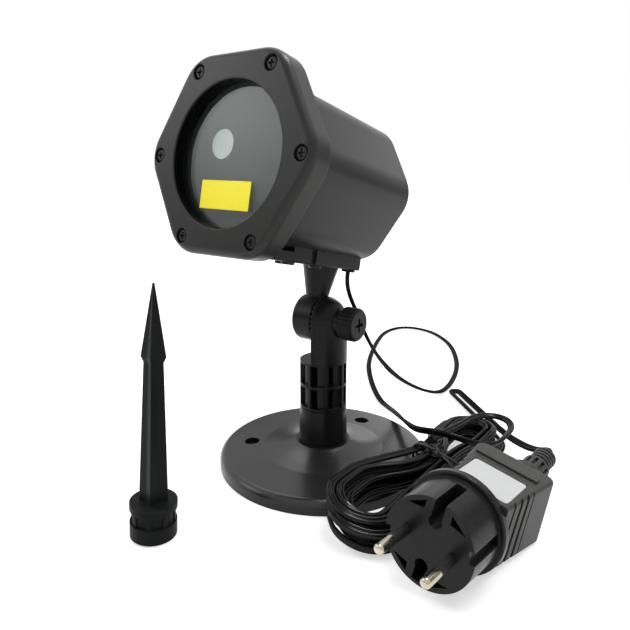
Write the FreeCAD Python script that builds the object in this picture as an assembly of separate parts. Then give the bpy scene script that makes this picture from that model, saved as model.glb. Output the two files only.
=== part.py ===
import FreeCAD, Part
import math
import os

# Laser show projector on a round foot, with its ground stake, cord and plug-in adapter.
# Millimetres. Origin on the floor under the centre of the foot, Z up, window facing -Y, clamp knob on +X.

# Foot: a flat round disc with a coned middle and a tapered socket for the post
baseRadius = 55.0
rimHeight = 7.2
rimRound = 3.3
deckInnerRadius = 32.0
deckRise = 0.9
coneTopRadius = 14.2
coneTopZ = 12.3
coneSagShare = 0.35
coneSteps = 8
rimSteps = 6
socketFootRadius = 12.9
socketTopRadius = 12.2
socketTopZ = 31.5
socketGroove = 0.7
socketGrooveHeight = 1.1
boreRadius = 8.1
boreFloor = 19.0
recessInner = 19.0
recessRimWall = 4.5
recessOuter = baseRadius - recessRimWall
recessDepth = 3.0
footRibCount = 12
footRibThick = 2.0
footHoleCount = 3
footHoleInset = 16.0
footHoleCircle = baseRadius - footHoleInset
footHoleRadius = 2.2
footSinkRadius = 4.1
footSinkDepth = 3.2
footBossRadius = 6.4
footHoleFirst = 90.0

# Post: spigot, windowed collar and the fixed half of the knuckle
collarGap = 0.3
spigotRadius = 8.03
spigotFloorGap = 1.0
collarRadius = 12.2
collarTopZ = 56.8
collarCoreRadius = 6.4
collarRibCount = 8
collarRibWidth = 1.3
collarPadRadius = 10.6
collarPadWidth = 4.4
collarPadTurn = 14.0
collarFootRing = 1.1
collarMidRingZ = 43.5
collarMidRing = 1.5
collarTopRing = 0.8
hingeZ = 78.04
knuckleRadius = 11.9
knuckleWidth = 11.8
toothCount = 30
toothHeight = 0.75
toothInner = 7.4
toothOuter = 11.7
toothCrestGap = 0.12
toothWidthShare = 0.92
pivotHole = 3.25
knobBossRadius = 6.6
knobBossX = 12.2

# Clamp knob with its washer and screw
washerThick = 0.9
washerRadius = 6.4
knobGap = 0.1
knobRadius = 8.4
knobLength = 8.2
knobEdge = 0.5
knobRound = 1.8
fluteCount = 24
fluteRadius = 0.8
fluteDepth = 0.4
knobCrossSpan = 7.0
knobCrossWidth = 1.6
knobCrossDepth = 1.5
screwRadius = 3.0
screwFit = 0.03
screwKnobShare = 0.55
screwTailX = -9.4
nutFlats = 9.8
nutThick = 4.0
nutFit = 0.15

# Head: nose-up pitch, and where its front face lies from the hinge
headPitch = 12.04
headHingeX = 5.94
headHingeY = 76.59
headHingeZ = -65.81

# Bezel
bezelApothem = 41.0
bezelCorner = 16.5
bezelDepth = 12.0
bezelFront = 3.0
bezelRear = 0.9
bezelFace = 5.2
bezelWall = 2.7
windowRadius = 29.7
windowEdge = 0.6
bezelScrewCircle = 39.3
bezelScrewCount = 6
sinkRadius = 3.3
sinkDepth = 2.4
bezelHole = 1.7

# Bezel and plate screws
screwHeadRadius = 2.7
screwHeadHeight = 1.9
plateHeadRadius = 3.1
plateHeadHeight = 1.4
headRoundShare = 0.45
screwShank = 1.45
bezelScrewLength = 7.6
driveWidth = 0.9
driveSpan = 3.2
driveDepth = 0.9

# Housing
bodyApothem = 33.5
bodyCorner = 16.0
bodyWall = 3.0
bodyRearY = 94.8
bodyRearRound = 3.0
flangeFrontY = 8.2
flangeClear = 0.3
flangeRearY = 11.7
plateSeatRadius = 31.6
plateSeatY = 10.8
lipRadius = 28.5

# Window stack
glassRadius = 34.5
glassThick = 2.0
gasketInner = 31.9
aperturePlateRadius = 31.4
aperturePlateFront = 9.3
apertureX = -10.0
apertureZ = 6.3
apertureRadius = 6.4
lensRadius = 7.9
lensThick = 1.6
lensFit = 0.05
lensSetback = 0.35

# Plate under the housing
saddleHalf = 16.0
saddleFrontY = 17.0
saddleRearY = 89.4
saddleBottomZ = -39.3
saddleTopZ = -29.6
saddleEdge = 1.2
saddleGrooveY = 48.0
saddleGrooveWidth = 4.0
saddleGrooveDepth = 1.5
plateScrewX = 10.5
plateScrewYs = (36.2, 57.0)
saddleLipY = 33.0
saddleLipGap = 1.3
plateScrewLength = 8.4
plateScrewHole = 1.6

# Neck
neckTopRadius = 9.2
neckFootRadius = 5.8
neckFootDrop = 54.5
neckRootShare = 0.35

# Cable gland
glandX = 12.3
glandY = 83.6
glandRadius = 3.4
glandBody = 2.6
glandDrop = 1.2
glandEdge = 0.4
glandInside = 1.8
cordFit = 0.04

# Optics inside the housing
benchHalf = 20.0
benchFrontY = 34.0
benchRearY = 74.0
benchBottomZ = -30.5
benchTopZ = -6.0
benchFinCount = 7
benchFinWidth = 2.4
benchFinDepth = 14.0
benchFinFloor = 5.0
moduleRadius = 5.9
moduleLength = 30.0
moduleFrontY = 44.0
moduleSpacing = 16.0
moduleNoseRadius = 3.0
moduleNoseLength = 2.0
cradleHeight = 9.0
cradleWidth = 7.0
mirrorSide = 7.0
mirrorThick = 1.2
postWidth = 3.0
wheelRadius = 13.5
wheelThick = 1.5
wheelY = 15.0
wheelOffsetX = 6.6
wheelOffsetZ = -5.4
wheelHub = 2.4
wheelHubLength = 3.0
wheelLandShare = 0.58
wheelWindowCount = 6
wheelWebShare = 0.22
motorShaft = 0.75
motorShaftFit = 0.02
motorShaftLength = 5.0
motorRadius = 5.0
motorLength = 9.0
motorBossRadius = 1.8
motorBossLength = 0.8
bracketThick = 1.6
bracketHalf = 7.0
boardHalf = 24.0
boardFrontY = 30.0
boardRearY = 84.0
boardZ = 23.0
boardThick = 1.6
chipSide = 8.0
chipThick = 1.4
capRadius = 3.2
capHeight = 7.0
spacerSide = 3.0

# Ground stake standing beside the foot
stakeX = -19.15
stakeY = -98.25
stakeTurn = 38.0
stakeLean = 3.8
stakeLeanHeading = 36.6
stakeRingRadius = 9.9
stakeRingZ = 6.8
stakeWindowZ = 12.6
stakeFlangeZ = 15.6
stakeFlangeRadius = 10.0
stakeRibRadius = 9.3
stakeBore = 8.1
stakeRibCount = 8
stakeRibWidth = 2.2
stakeWallIn = 8.7
shaftFootHalf = 6.15
shaftTopHalf = 4.05
shaftTopZ = 77.3
barbZ = 79.7
barbHalf = 5.15
stakeTipZ = 109.6
stakeTipHalf = 0.45
stakeValleyShare = 0.42

# Adapter: origin at the centre of the face that carries the pins, pins along -y
adapterX = 92.0
adapterY = -63.3
adapterYaw = -4.8
adapterPitch = 11.42
adapterRoll = -4.62
plugRadius = 18.0
plugDepth = 19.4
plugTaper = 0.5
plugFlangeRadius = 20.6
plugFlangeThick = 3.2
plugFlangeLip = 0.8
pinSpacing = 19.0
pinLength = 19.0
pinRadius = 2.0
pinRoundShare = 0.75
pinCore = 1.55
pinFit = 0.02
pinRoot = 8.0
sleeveLength = 10.0
earthOffset = 9.7
earthRadius = 2.75
earthSlotHalf = 2.2
earthRimWall = 1.3
earthDepth = 16.0
coreOutDepth = 6.0
coreOutRadii = (16.6, 13.2, 16.4)
coreOutAngles = (72.0, 66.0, 42.0)
sideGrooveHalf = 2.4
sideGrooveDepth = 2.2
sideGrooveTurn = 17.0
caseRearY = 63.0
caseTopZ = 16.0
caseBottomZ = -13.2
caseMidX = 3.5
caseFrontHalf = 12.9
caseRearHalf = 17.5
caseDraft = 0.9
caseRearDraft = 2.3
caseCorner = 4.0
caseEdge = 1.5
caseWall = 2.0
caseSplitZ = -5.0
caseGrooves = ((27.5, 1.5), (32.3, 2.2), (37.4, 2.2), (42.4, 1.0))
caseGrooveDepth = 0.8
labelX0 = -8.2
labelX1 = 14.8
labelY0 = 25.0
labelY1 = 45.6
labelDepth = 0.3
barX0 = -10.5
barX1 = 16.5
barY0 = 50.2
barY1 = 54.0
barHeight = 1.0
barRoot = 0.5
bootX = 8.2
bootZ = 7.0
bootTilt = 9.0
bootBaseRadius = 9.0
bootBaseLength = 4.0
bootNeckRadius = 6.0
bootTipRadius = 3.6
bootLength = 25.0
bootRoot = 2.5
bootRingCount = 4
bootRingRadius = 5.0
bootRingWidth = 1.3
bootRingStep = 2.2
bootSlotCount = 12
bootSlotWidth = 1.4
bootSlotDepth = 1.4
bootSlotY0 = 5.2
bootSlotY1 = 13.0
bootNeckEnd = 14.5
transformerHalf = 8.2
transformerY0 = 30.0
transformerY1 = 46.0
transformerHeight = 13.0
adapterBoardY1 = 58.0
adapterBoardHalf = 9.6
adapterBoardZ = -4.0

# Cord
cordDiameter = 2.6

# Hank: loops along Y, drawn in at the tie, its left side lying over the rim of the foot
hankRuns = 20
hankLayerRuns = 5
lobeLayer = 3.8
waistLayer = 3.2
lobeStep = 4.2
waistStep = 3.3
waistX = 63.0
waistY = 6.5
waistHalf = 9.2
waistLeftZ = 11.0
waistRightZ = 4.8
frontX = 53.5
frontY = -42.5
frontHalf = 17.5
frontLeftZ = 8.8
frontRightZ = 2.0
rearX = 58.5
rearY = 58.0
rearHalf = 17.5
rearZ = 1.8
hankLeastGap = 0.4
hankSampleStep = 1.2
hankSampleLeast = 6

# Twist tie round the waist of the hank
tieGap = 0.65
tieWire = 0.9
tieBand = 2.2
tieCorner = 2.0
tieTailLength = 15.0
tieTailWidth = 2.6
tieTailThick = 1.1
tieTailTurn = 75.0
tieTailSteps = 5
tieTailTilt = 62.0

# Free cord between the gland and the tie, and the lead between the tie and the adapter
glandDropLength = 5.0
lampRoute = [
    (7.2, 13.0, 88.5),
    (7.0, 20.5, 78.5),
    (5.6, 33.0, 61.5),
    (2.6, 53.0, 43.0),
    (1.6, 78.0, 23.5),
    (5.4, 102.5, 8.6),
    (12.5, 119.5, 1.7),
    (12.0, 139.0, 1.5),
    (4.0, 170.0, 1.5),
    (-9.0, 200.0, 1.5),
    (-31.0, 236.0, 1.5),
    (-62.0, 262.5, 1.5),
    (-90.0, 262.0, 1.5),
    (-97.0, 236.0, 1.5),
    (-84.0, 197.0, 1.5),
    (-64.0, 152.0, 1.5),
    (-48.0, 126.5, 1.5),
    (-29.5, 102.0, 1.5),
    (-14.3, 85.3, 1.6),
    (-1.6, 72.4, 4.6),
    (11.0, 58.3, 9.6),
    (22.9, 44.2, 12.5),
    (32.7, 34.0, 13.6),
    (41.6, 24.4, 15.4),
    (48.0, 18.8, 20.0),
    (55.0, 16.2, 24.8),
    (65.5, 17.5, 25.0),
    (76.0, 21.5, 22.4),
    (83.0, 30.0, 20.4),
    (83.8, 44.0, 20.2),
    (83.0, 56.0, 20.2),
    (77.0, 64.5, 20.2),
    (67.5, 64.5, 20.2),
    (61.5, 56.0, 20.4),
    (60.5, 42.0, 20.8),
    (57.5, 28.0, 21.0),
    (54.6, 16.5, 20.3),
]
leadDropLength = 9.3
leadRoute = [
    (98.0, 46.0, 15.5),
    (82.5, 67.5, 7.0),
    (69.5, 83.5, 3.0),
    (21.2, 132.8, 1.5),
    (17.0, 128.4, 1.5),
]
leadApproach = 12.0
cornerShare = 0.45

# Working sizes: seating gap, length by which a cutter runs past the solid it cuts, and tolerance
seatGap = 0.1
runOut = 6.0
linearTolerance = 0.001
hexCount = 6
hexTurn = 360.0 / hexCount
mirrorTurn = 45.0
starPoints = 8

axisX = FreeCAD.Vector(1, 0, 0)
axisY = FreeCAD.Vector(0, 1, 0)
axisZ = FreeCAD.Vector(0, 0, 1)
origin = FreeCAD.Vector(0, 0, 0)

os.makedirs("parts", exist_ok=True)
made = {}


def vec(x, y, z):
    return FreeCAD.Vector(x, y, z)


def deliver(name, shape):
    shape.exportStep("parts/" + name + ".step")
    made[name] = shape


def box(x0, x1, y0, y1, z0, z1):
    return Part.makeBox(x1 - x0, y1 - y0, z1 - z0, vec(x0, y0, z0))


def rod(radius, start, length, axis):
    return Part.makeCylinder(radius, length, start, axis)


def ring(outer, inner, start, length, axis):
    return rod(outer, start, length, axis).cut(rod(inner, start, length, axis))


def turned(shape, angle, centre=origin, axis=axisZ):
    copy = shape.copy()
    copy.rotate(centre, axis, angle)
    return copy


def moved(shape, x, y, z):
    copy = shape.copy()
    copy.translate(vec(x, y, z))
    return copy


def around(shape, count, first=0.0, centre=origin, axis=axisZ):
    return [turned(shape, first + 360.0 * i / count, centre, axis) for i in range(count)]


def fused(shapes):
    return shapes[0].multiFuse(shapes[1:]).removeSplitter()


def spun(points):
    # closed half section given as (radius, height), turned about Z
    wire = Part.makePolygon([vec(r, 0, z) for r, z in points + points[:1]])
    return Part.Face(wire).revolve(origin, axisZ, 360.0)


def hexWire(apothem, corner, y):
    # hexagon with flat top and bottom and rounded corners, in the plane of the given y
    reach = (apothem - corner) / math.cos(math.radians(hexTurn / 2))
    edges = []
    ends = []
    for i in range(hexCount):
        mid = math.radians(hexTurn * i)
        cx = reach * math.cos(mid)
        cz = reach * math.sin(mid)
        arc = []
        for turn in (-hexTurn / 2, 0.0, hexTurn / 2):
            a = mid + math.radians(turn)
            arc.append(vec(cx + corner * math.cos(a), y, cz + corner * math.sin(a)))
        ends.append(arc)
    for i in range(hexCount):
        edges.append(Part.Arc(ends[i][0], ends[i][1], ends[i][2]).toShape())
        edges.append(Part.LineSegment(ends[i][2], ends[(i + 1) % hexCount][0]).toShape())
    return Part.Wire(edges)


def hexPrism(apothem, corner, y0, y1):
    return Part.Face(hexWire(apothem, corner, y0)).extrude(vec(0, y1 - y0, 0))


def edgesAtY(shape, y):
    found = []
    for edge in shape.Edges:
        span = edge.BoundBox
        if abs(span.YMin - y) < linearTolerance and abs(span.YMax - y) < linearTolerance:
            found.append(edge)
    return found


def edgesAtZ(shape, z):
    found = []
    for edge in shape.Edges:
        span = edge.BoundBox
        if abs(span.ZMin - z) < linearTolerance and abs(span.ZMax - z) < linearTolerance:
            found.append(edge)
    return found


# Placements of the head and of the adapter
headPlace = FreeCAD.Placement(vec(0, 0, hingeZ), FreeCAD.Rotation(axisX, -headPitch))
adapterTurn = FreeCAD.Rotation(adapterYaw, adapterPitch, adapterRoll)
plugAxis = adapterTurn.multVec(axisY)
# the plug rests on the rim of its flange
adapterZ = plugFlangeRadius * math.sqrt(1 - plugAxis.z ** 2) - plugAxis.z * (plugDepth + plugFlangeThick)
adapterPlace = FreeCAD.Placement(vec(adapterX, adapterY, adapterZ), adapterTurn)


def onHead(shape):
    # from coordinates at the front face of the head to the standing object
    copy = moved(shape, -headHingeX, -headHingeY, -headHingeZ)
    copy.Placement = headPlace.multiply(copy.Placement)
    return copy


def onHinge(shape):
    # from coordinates at the hinge, turned with the head
    copy = shape.copy()
    copy.Placement = headPlace.multiply(copy.Placement)
    return copy


def onAdapter(shape):
    copy = shape.copy()
    copy.Placement = adapterPlace.multiply(copy.Placement)
    return copy


def panScrew(tip, axis, length, headRadius, headHeight):
    # cross-drive screw whose head ends at the tip, shank running on along the axis
    head = rod(headRadius, origin, headHeight, axisZ)
    head = head.makeFillet(headHeight * headRoundShare, edgesAtZ(head, 0.0))
    screw = head.fuse(rod(screwShank, vec(0, 0, headHeight), length, axisZ))
    half = driveWidth / 2
    reach = driveSpan / 2
    for x, y in ((reach, half), (half, reach)):
        screw = screw.cut(box(-x, x, -y, y, 0, driveDepth))
    screw.Placement = FreeCAD.Placement(tip, FreeCAD.Rotation(axisZ, axis))
    return screw


# Foot
conePoints = []
for i in range(coneSteps + 1):
    share = i / coneSteps
    radius = deckInnerRadius + (coneTopRadius - deckInnerRadius) * share
    lift = (1 - coneSagShare) * share + coneSagShare * share ** 3
    conePoints.append((radius, rimHeight + deckRise + (coneTopZ - rimHeight - deckRise) * lift))
rimPoints = []
for i in range(rimSteps + 1):
    a = math.radians(90.0 * i / rimSteps)
    rimR = baseRadius - rimRound + rimRound * math.cos(a)
    rimPoints.append((rimR, rimHeight - rimRound + rimRound * math.sin(a)))
grooveRadius = socketFootRadius - socketGroove
foot = spun(
    [(0, 0), (recessInner, 0), (recessInner, recessDepth), (recessOuter, recessDepth), (recessOuter, 0)]
    + [(baseRadius, 0)]
    + rimPoints
    + conePoints
    + [(grooveRadius, coneTopZ), (grooveRadius, coneTopZ + socketGrooveHeight)]
    + [(socketFootRadius, coneTopZ + socketGrooveHeight), (socketTopRadius, socketTopZ)]
    + [(boreRadius, socketTopZ), (boreRadius, boreFloor), (0, boreFloor)]
)
ribHalf = footRibThick / 2
footRib = box(recessInner - recessDepth, recessOuter + footRibThick, -ribHalf, ribHalf, 0, recessDepth)
footBoss = rod(footBossRadius, vec(footHoleCircle, 0, 0), recessDepth, axisZ)
ribStart = footHoleFirst + 180.0 / footRibCount
foot = fused(
    [foot] + around(footRib, footRibCount, ribStart) + around(footBoss, footHoleCount, footHoleFirst)
)
deckSlope = deckRise / (baseRadius - rimRound - deckInnerRadius)
holeTop = rimHeight + deckSlope * (baseRadius - rimRound - footHoleCircle)
footHole = rod(footHoleRadius, vec(footHoleCircle, 0, -runOut), holeTop + runOut * 2, axisZ)
footSink = rod(footSinkRadius, vec(footHoleCircle, 0, holeTop - footSinkDepth), footSinkDepth + runOut, axisZ)
for cutter in around(footHole.fuse(footSink), footHoleCount, footHoleFirst):
    foot = foot.cut(cutter)
deliver("base_foot", foot)

# Knuckle teeth: wedges that widen outwards, on a face square to X and pointing along the given sign
toothPitch = 2 * math.pi / toothCount


def toothRing(faceX, sign):
    wires = []
    for r in (toothInner, toothOuter):
        half = r * toothPitch * toothWidthShare / 2
        corners = [
            vec(faceX - sign * toothHeight, -half, r),
            vec(faceX, -half, r),
            vec(faceX + sign * toothHeight, 0, r),
            vec(faceX, half, r),
            vec(faceX - sign * toothHeight, half, r),
        ]
        wires.append(Part.makePolygon(corners + corners[:1]))
    tooth = Part.makeLoft(wires, True, True)
    return around(tooth, toothCount, 0.0, origin, axisX)


toothFace = toothHeight + toothCrestGap / 2

# Post
collarFootZ = socketTopZ + collarGap
collarHeight = collarTopZ - collarFootZ
spigotFootZ = boreFloor + spigotFloorGap
spigot = rod(spigotRadius, vec(0, 0, spigotFootZ), collarFootZ - spigotFootZ, axisZ)
collarParts = [spigot, rod(collarCoreRadius, vec(0, 0, collarFootZ - seatGap), collarHeight + seatGap, axisZ)]
for z, height in (
    (collarFootZ, collarFootRing),
    (collarMidRingZ, collarMidRing),
    (collarTopZ - collarTopRing, collarTopRing),
):
    collarParts.append(rod(collarRadius, vec(0, 0, z), height, axisZ))
collarRib = box(0, collarRadius, -collarRibWidth / 2, collarRibWidth / 2, collarFootZ, collarTopZ)
collarRib = collarRib.common(rod(collarRadius, vec(0, 0, collarFootZ), collarHeight, axisZ))
collarParts += around(collarRib, collarRibCount)
padHalf = collarPadWidth / 2
collarPad = box(0, collarPadRadius, -padHalf, padHalf, collarFootZ, collarTopZ)
collarPad = collarPad.common(rod(collarPadRadius, vec(0, 0, collarFootZ), collarHeight, axisZ))
collarParts += around(collarPad, collarRibCount, -collarPadTurn)
collar = fused(collarParts)

knuckleTop = hingeZ + knuckleRadius
halfPost = rod(collarRadius, vec(0, 0, collarTopZ), knuckleTop - collarTopZ, axisZ)
halfPost = halfPost.common(box(toothFace, collarRadius, -collarRadius, collarRadius, collarTopZ, knuckleTop))
outline = Part.makeSphere(knuckleRadius, vec(0, 0, hingeZ))
outline = outline.fuse(box(0, collarRadius, -collarRadius, collarRadius, collarTopZ, hingeZ))
halfPost = halfPost.common(outline)
knobBoss = rod(knobBossRadius, vec(knuckleRadius / 2, 0, hingeZ), knobBossX - knuckleRadius / 2, axisX)
postTeeth = [moved(tooth, 0, 0, hingeZ) for tooth in toothRing(toothFace, -1)]
post = fused([collar, halfPost, knobBoss] + postTeeth)
post = post.cut(rod(pivotHole, vec(-runOut, 0, hingeZ), knobBossX + runOut * 2, axisX))
deliver("stand_post", post)

# Knob, washer and screw
washer = ring(washerRadius, pivotHole, vec(knobBossX, 0, hingeZ), washerThick, axisX)
deliver("knob_washer", washer)

knobX = knobBossX + washerThick + knobGap
knobEnd = knobX + knobLength
knob = rod(knobRadius, vec(knobX, 0, hingeZ), knobLength, axisX)
innerRim = [e for e in knob.Edges if abs(e.BoundBox.XMax - knobX) < linearTolerance]
knob = knob.makeChamfer(knobEdge, innerRim)
outerRim = [e for e in knob.Edges if abs(e.BoundBox.XMin - knobEnd) < linearTolerance]
knob = knob.makeFillet(knobRound, outerRim)
fluteCircle = knobRadius + fluteRadius - fluteDepth
flute = rod(fluteRadius, vec(knobX - runOut, fluteCircle, hingeZ), knobLength + runOut * 2, axisX)
for cutter in around(flute, fluteCount, 0.0, vec(0, 0, hingeZ), axisX):
    knob = knob.cut(cutter)
crossFloor = knobEnd - knobCrossDepth
for y, z in ((knobCrossSpan / 2, knobCrossWidth / 2), (knobCrossWidth / 2, knobCrossSpan / 2)):
    knob = knob.cut(box(crossFloor, knobEnd + runOut, -y, y, hingeZ - z, hingeZ + z))
screwHeadX = knobX + knobLength * screwKnobShare
screwRoom = rod(screwRadius + screwFit, vec(knobX - runOut, 0, hingeZ), screwHeadX - knobX + runOut, axisX)
knob = knob.cut(screwRoom)
deliver("knob_grip", knob)
deliver("clamp_screw", rod(screwRadius, vec(screwTailX, 0, hingeZ), screwHeadX - screwTailX, axisX))

# Neck with the moving half of the knuckle, drawn at the hinge
plateDrop = saddleBottomZ - headHingeZ
coneFoot = -neckFootDrop - headHingeZ
disc = rod(knuckleRadius, vec(-knuckleWidth, 0, 0), knuckleWidth - toothFace, axisX)
discRim = [e for e in disc.Edges if abs(e.BoundBox.XMax + knuckleWidth) < linearTolerance]
disc = disc.makeFillet(saddleEdge, discRim)
coneStart = vec(-headHingeX, 0, coneFoot)
neckCone = Part.makeCone(neckFootRadius, neckTopRadius, plateDrop - coneFoot, coneStart, axisZ)
rootFoot = coneFoot * neckRootShare
neckRoot = rod(neckFootRadius, vec(-headHingeX, 0, rootFoot), coneFoot - rootFoot, axisZ)
neckRoot = neckRoot.common(box(-knuckleWidth, -toothFace, -knuckleRadius, knuckleRadius, 0, plateDrop))
neck = fused([disc, neckCone, neckRoot] + toothRing(-toothFace, 1))
neck = neck.cut(rod(pivotHole, vec(-knuckleWidth - runOut, 0, 0), knuckleWidth + runOut * 2, axisX))


def hexBar(flats, start, length):
    # six-sided bar along X
    reach = flats / 2 / math.cos(math.radians(hexTurn / 2))
    points = []
    for i in range(hexCount + 1):
        a = math.radians(hexTurn * i)
        points.append(vec(start, reach * math.cos(a), reach * math.sin(a)))
    return Part.Face(Part.makePolygon(points)).extrude(vec(length, 0, 0))


neck = neck.cut(hexBar(nutFlats + nutFit * 2, -knuckleWidth - runOut, nutThick + runOut))
deliver("neck_bracket", onHinge(neck))
nut = hexBar(nutFlats, -knuckleWidth, nutThick).cut(
    rod(screwRadius + screwFit, vec(-knuckleWidth - runOut, 0, 0), nutThick + runOut * 2, axisX)
)
deliver("clamp_nut", onHinge(nut))

# Bezel
bezel = hexPrism(bezelApothem, bezelCorner, 0, bezelDepth)
bezel = bezel.makeFillet(bezelFront, edgesAtY(bezel, 0.0))
bezel = bezel.makeChamfer(bezelRear, edgesAtY(bezel, bezelDepth))
bezel = bezel.cut(hexPrism(bezelApothem - bezelWall, bezelCorner - bezelWall, bezelFace, bezelDepth + runOut))
bezel = bezel.cut(rod(windowRadius, vec(0, -runOut, 0), bezelFace + runOut * 2, axisY))
edgeReach = windowEdge * 2
edgeCone = Part.makeCone(windowRadius + edgeReach, windowRadius, edgeReach, vec(0, -windowEdge, 0), axisY)
bezel = bezel.cut(edgeCone)
bezelSpots = []
for i in range(bezelScrewCount):
    a = math.radians(360.0 * i / bezelScrewCount)
    bezelSpots.append((bezelScrewCircle * math.cos(a), bezelScrewCircle * math.sin(a)))
for x, z in bezelSpots:
    bezel = bezel.cut(rod(sinkRadius, vec(x, -runOut, z), sinkDepth + runOut, axisY))
    bezel = bezel.cut(rod(bezelHole, vec(x, 0, z), bezelDepth, axisY))
deliver("front_bezel", onHead(bezel))

bezelScrews = []
for x, z in bezelSpots:
    tip = vec(x, sinkDepth - screwHeadHeight, z)
    bezelScrews.append(panScrew(tip, axisY, bezelScrewLength, screwHeadRadius, screwHeadHeight))
deliver("bezel_screws", onHead(Part.makeCompound(bezelScrews)))

# Housing
shell = hexPrism(bodyApothem, bodyCorner, flangeFrontY, bodyRearY)
shell = shell.makeFillet(bodyRearRound, edgesAtY(shell, bodyRearY))
flangeApothem = bezelApothem - bezelWall - flangeClear
flangeCorner = bezelCorner - bezelWall - flangeClear
shell = shell.fuse(hexPrism(flangeApothem, flangeCorner, flangeFrontY, flangeRearY)).removeSplitter()
cavity = hexPrism(bodyApothem - bodyWall, bodyCorner - bodyWall, flangeRearY + seatGap, bodyRearY - bodyWall)
shell = shell.cut(cavity)
seatFrontY = flangeFrontY - runOut
shell = shell.cut(rod(plateSeatRadius, vec(0, seatFrontY, 0), plateSeatY - seatFrontY, axisY))
shell = shell.cut(rod(lipRadius, vec(0, flangeFrontY, 0), flangeRearY, axisY))
for x, z in bezelSpots:
    shell = shell.cut(rod(screwShank + screwFit, vec(x, flangeFrontY - seatGap, z), bezelDepth, axisY))
plateSpots = [(x, y) for x in (-plateScrewX, plateScrewX) for y in plateScrewYs]
floorCut = -bodyApothem - runOut
floorSpan = bodyWall + runOut * 2
for x, y in plateSpots:
    shell = shell.cut(rod(screwShank + screwFit, vec(x, y, floorCut), floorSpan, axisZ))
shell = shell.cut(rod(glandBody, vec(glandX, glandY, floorCut), floorSpan, axisZ))
deliver("housing_shell", onHead(shell))

# Window
glass = rod(glassRadius, vec(0, bezelFace, 0), glassThick, axisY)
deliver("window_glass", onHead(glass))
gasketY = bezelFace + glassThick
gasket = ring(glassRadius, gasketInner, vec(0, gasketY, 0), flangeFrontY - gasketY, axisY)
deliver("window_gasket", onHead(gasket))
apertureThick = plateSeatY - aperturePlateFront
aperturePlate = rod(aperturePlateRadius, vec(0, aperturePlateFront, 0), apertureThick, axisY)
aperturePlate = aperturePlate.cut(rod(apertureRadius, vec(apertureX, 0, apertureZ), bodyRearY, axisY))
deliver("aperture_plate", onHead(aperturePlate))
lens = rod(lensRadius, vec(apertureX, plateSeatY, apertureZ), lensThick, axisY)
lensFront = aperturePlateFront + lensSetback
lensSpan = plateSeatY + lensThick - lensFront
lensBoss = rod(apertureRadius - lensFit, vec(apertureX, lensFront, apertureZ), lensSpan, axisY)
deliver("aperture_lens", onHead(lens.fuse(lensBoss).removeSplitter()))

# Plate under the housing
saddle = box(-saddleHalf, saddleHalf, saddleFrontY, saddleRearY, saddleBottomZ, saddleTopZ)
upright = [e for e in saddle.Edges if e.BoundBox.ZLength > saddleEdge]
saddle = saddle.makeFillet(saddleEdge, upright + edgesAtZ(saddle, saddleBottomZ))
saddle = saddle.cut(hexPrism(bodyApothem, bodyCorner, 0, bodyRearY))
lipZ = -bodyApothem - saddleLipGap
saddle = saddle.cut(box(-saddleHalf - runOut, saddleHalf + runOut, 0, saddleLipY, lipZ, saddleTopZ + runOut))
for sign in (-1, 1):
    inner = sign * (saddleHalf - saddleGrooveDepth)
    outer = sign * (saddleHalf + runOut)
    y0 = saddleGrooveY - saddleGrooveWidth / 2
    groove = box(min(inner, outer), max(inner, outer), y0, y0 + saddleGrooveWidth, saddleBottomZ, saddleTopZ)
    saddle = saddle.cut(groove)
for x, y in plateSpots:
    saddle = saddle.cut(rod(plateScrewHole, vec(x, y, saddleBottomZ - seatGap), -saddleBottomZ, axisZ))
saddle = saddle.cut(rod(glandBody, vec(glandX, glandY, saddleBottomZ - seatGap), -saddleBottomZ, axisZ))
deliver("mount_plate", onHead(saddle))
plateScrews = []
for x, y in plateSpots:
    tip = vec(x, y, saddleBottomZ - plateHeadHeight)
    plateScrews.append(panScrew(tip, axisZ, plateScrewLength, plateHeadRadius, plateHeadHeight))
deliver("plate_screws", onHead(Part.makeCompound(plateScrews)))

# Gland
glandTop = -bodyApothem + bodyWall + glandInside
gland = rod(glandRadius, vec(glandX, glandY, saddleBottomZ - glandDrop), glandDrop, axisZ)
gland = gland.makeChamfer(glandEdge, edgesAtZ(gland, saddleBottomZ - glandDrop))
gland = gland.fuse(rod(glandBody, vec(glandX, glandY, saddleBottomZ), glandTop - saddleBottomZ, axisZ))
cordRoom = cordDiameter / 2 + cordFit
glandFoot = saddleBottomZ - glandDrop - runOut
gland = gland.cut(rod(cordRoom, vec(glandX, glandY, glandFoot), glandTop + runOut - glandFoot, axisZ))
deliver("cable_gland", onHead(gland.removeSplitter()))

# Bench with cooling fins below and two cradles above
bench = box(-benchHalf, benchHalf, benchFrontY, benchRearY, benchBottomZ, benchTopZ)
finPitch = benchHalf * 2 / benchFinCount
for i in range(benchFinCount - 1):
    x = -benchHalf + finPitch * (i + 1)
    slot = box(
        x - benchFinWidth / 2,
        x + benchFinWidth / 2,
        benchFrontY,
        benchRearY,
        benchBottomZ + benchFinFloor,
        benchBottomZ + benchFinFloor + benchFinDepth,
    )
    bench = bench.cut(slot)
greenX = apertureX
redX = apertureX + moduleSpacing
cradles = []
for y in (moduleFrontY + cradleWidth, moduleFrontY + moduleLength - cradleWidth * 2):
    x0 = greenX - moduleRadius
    cradles.append(box(x0, redX + moduleRadius, y, y + cradleWidth, benchTopZ, benchTopZ + cradleHeight))
cavityRoom = hexPrism(bodyApothem - bodyWall, bodyCorner - bodyWall, 0, bodyRearY)
bench = fused([bench] + cradles).common(cavityRoom)
for x in (greenX, redX):
    bench = bench.cut(rod(moduleRadius, vec(x, moduleFrontY, apertureZ), moduleLength, axisY))
postHalf = postWidth / 2
mirrorPost = box(-postHalf, postHalf, -postHalf, postHalf, benchTopZ, apertureZ - mirrorSide / 2)
mirrorCentreY = benchFrontY + mirrorSide / 2
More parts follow.
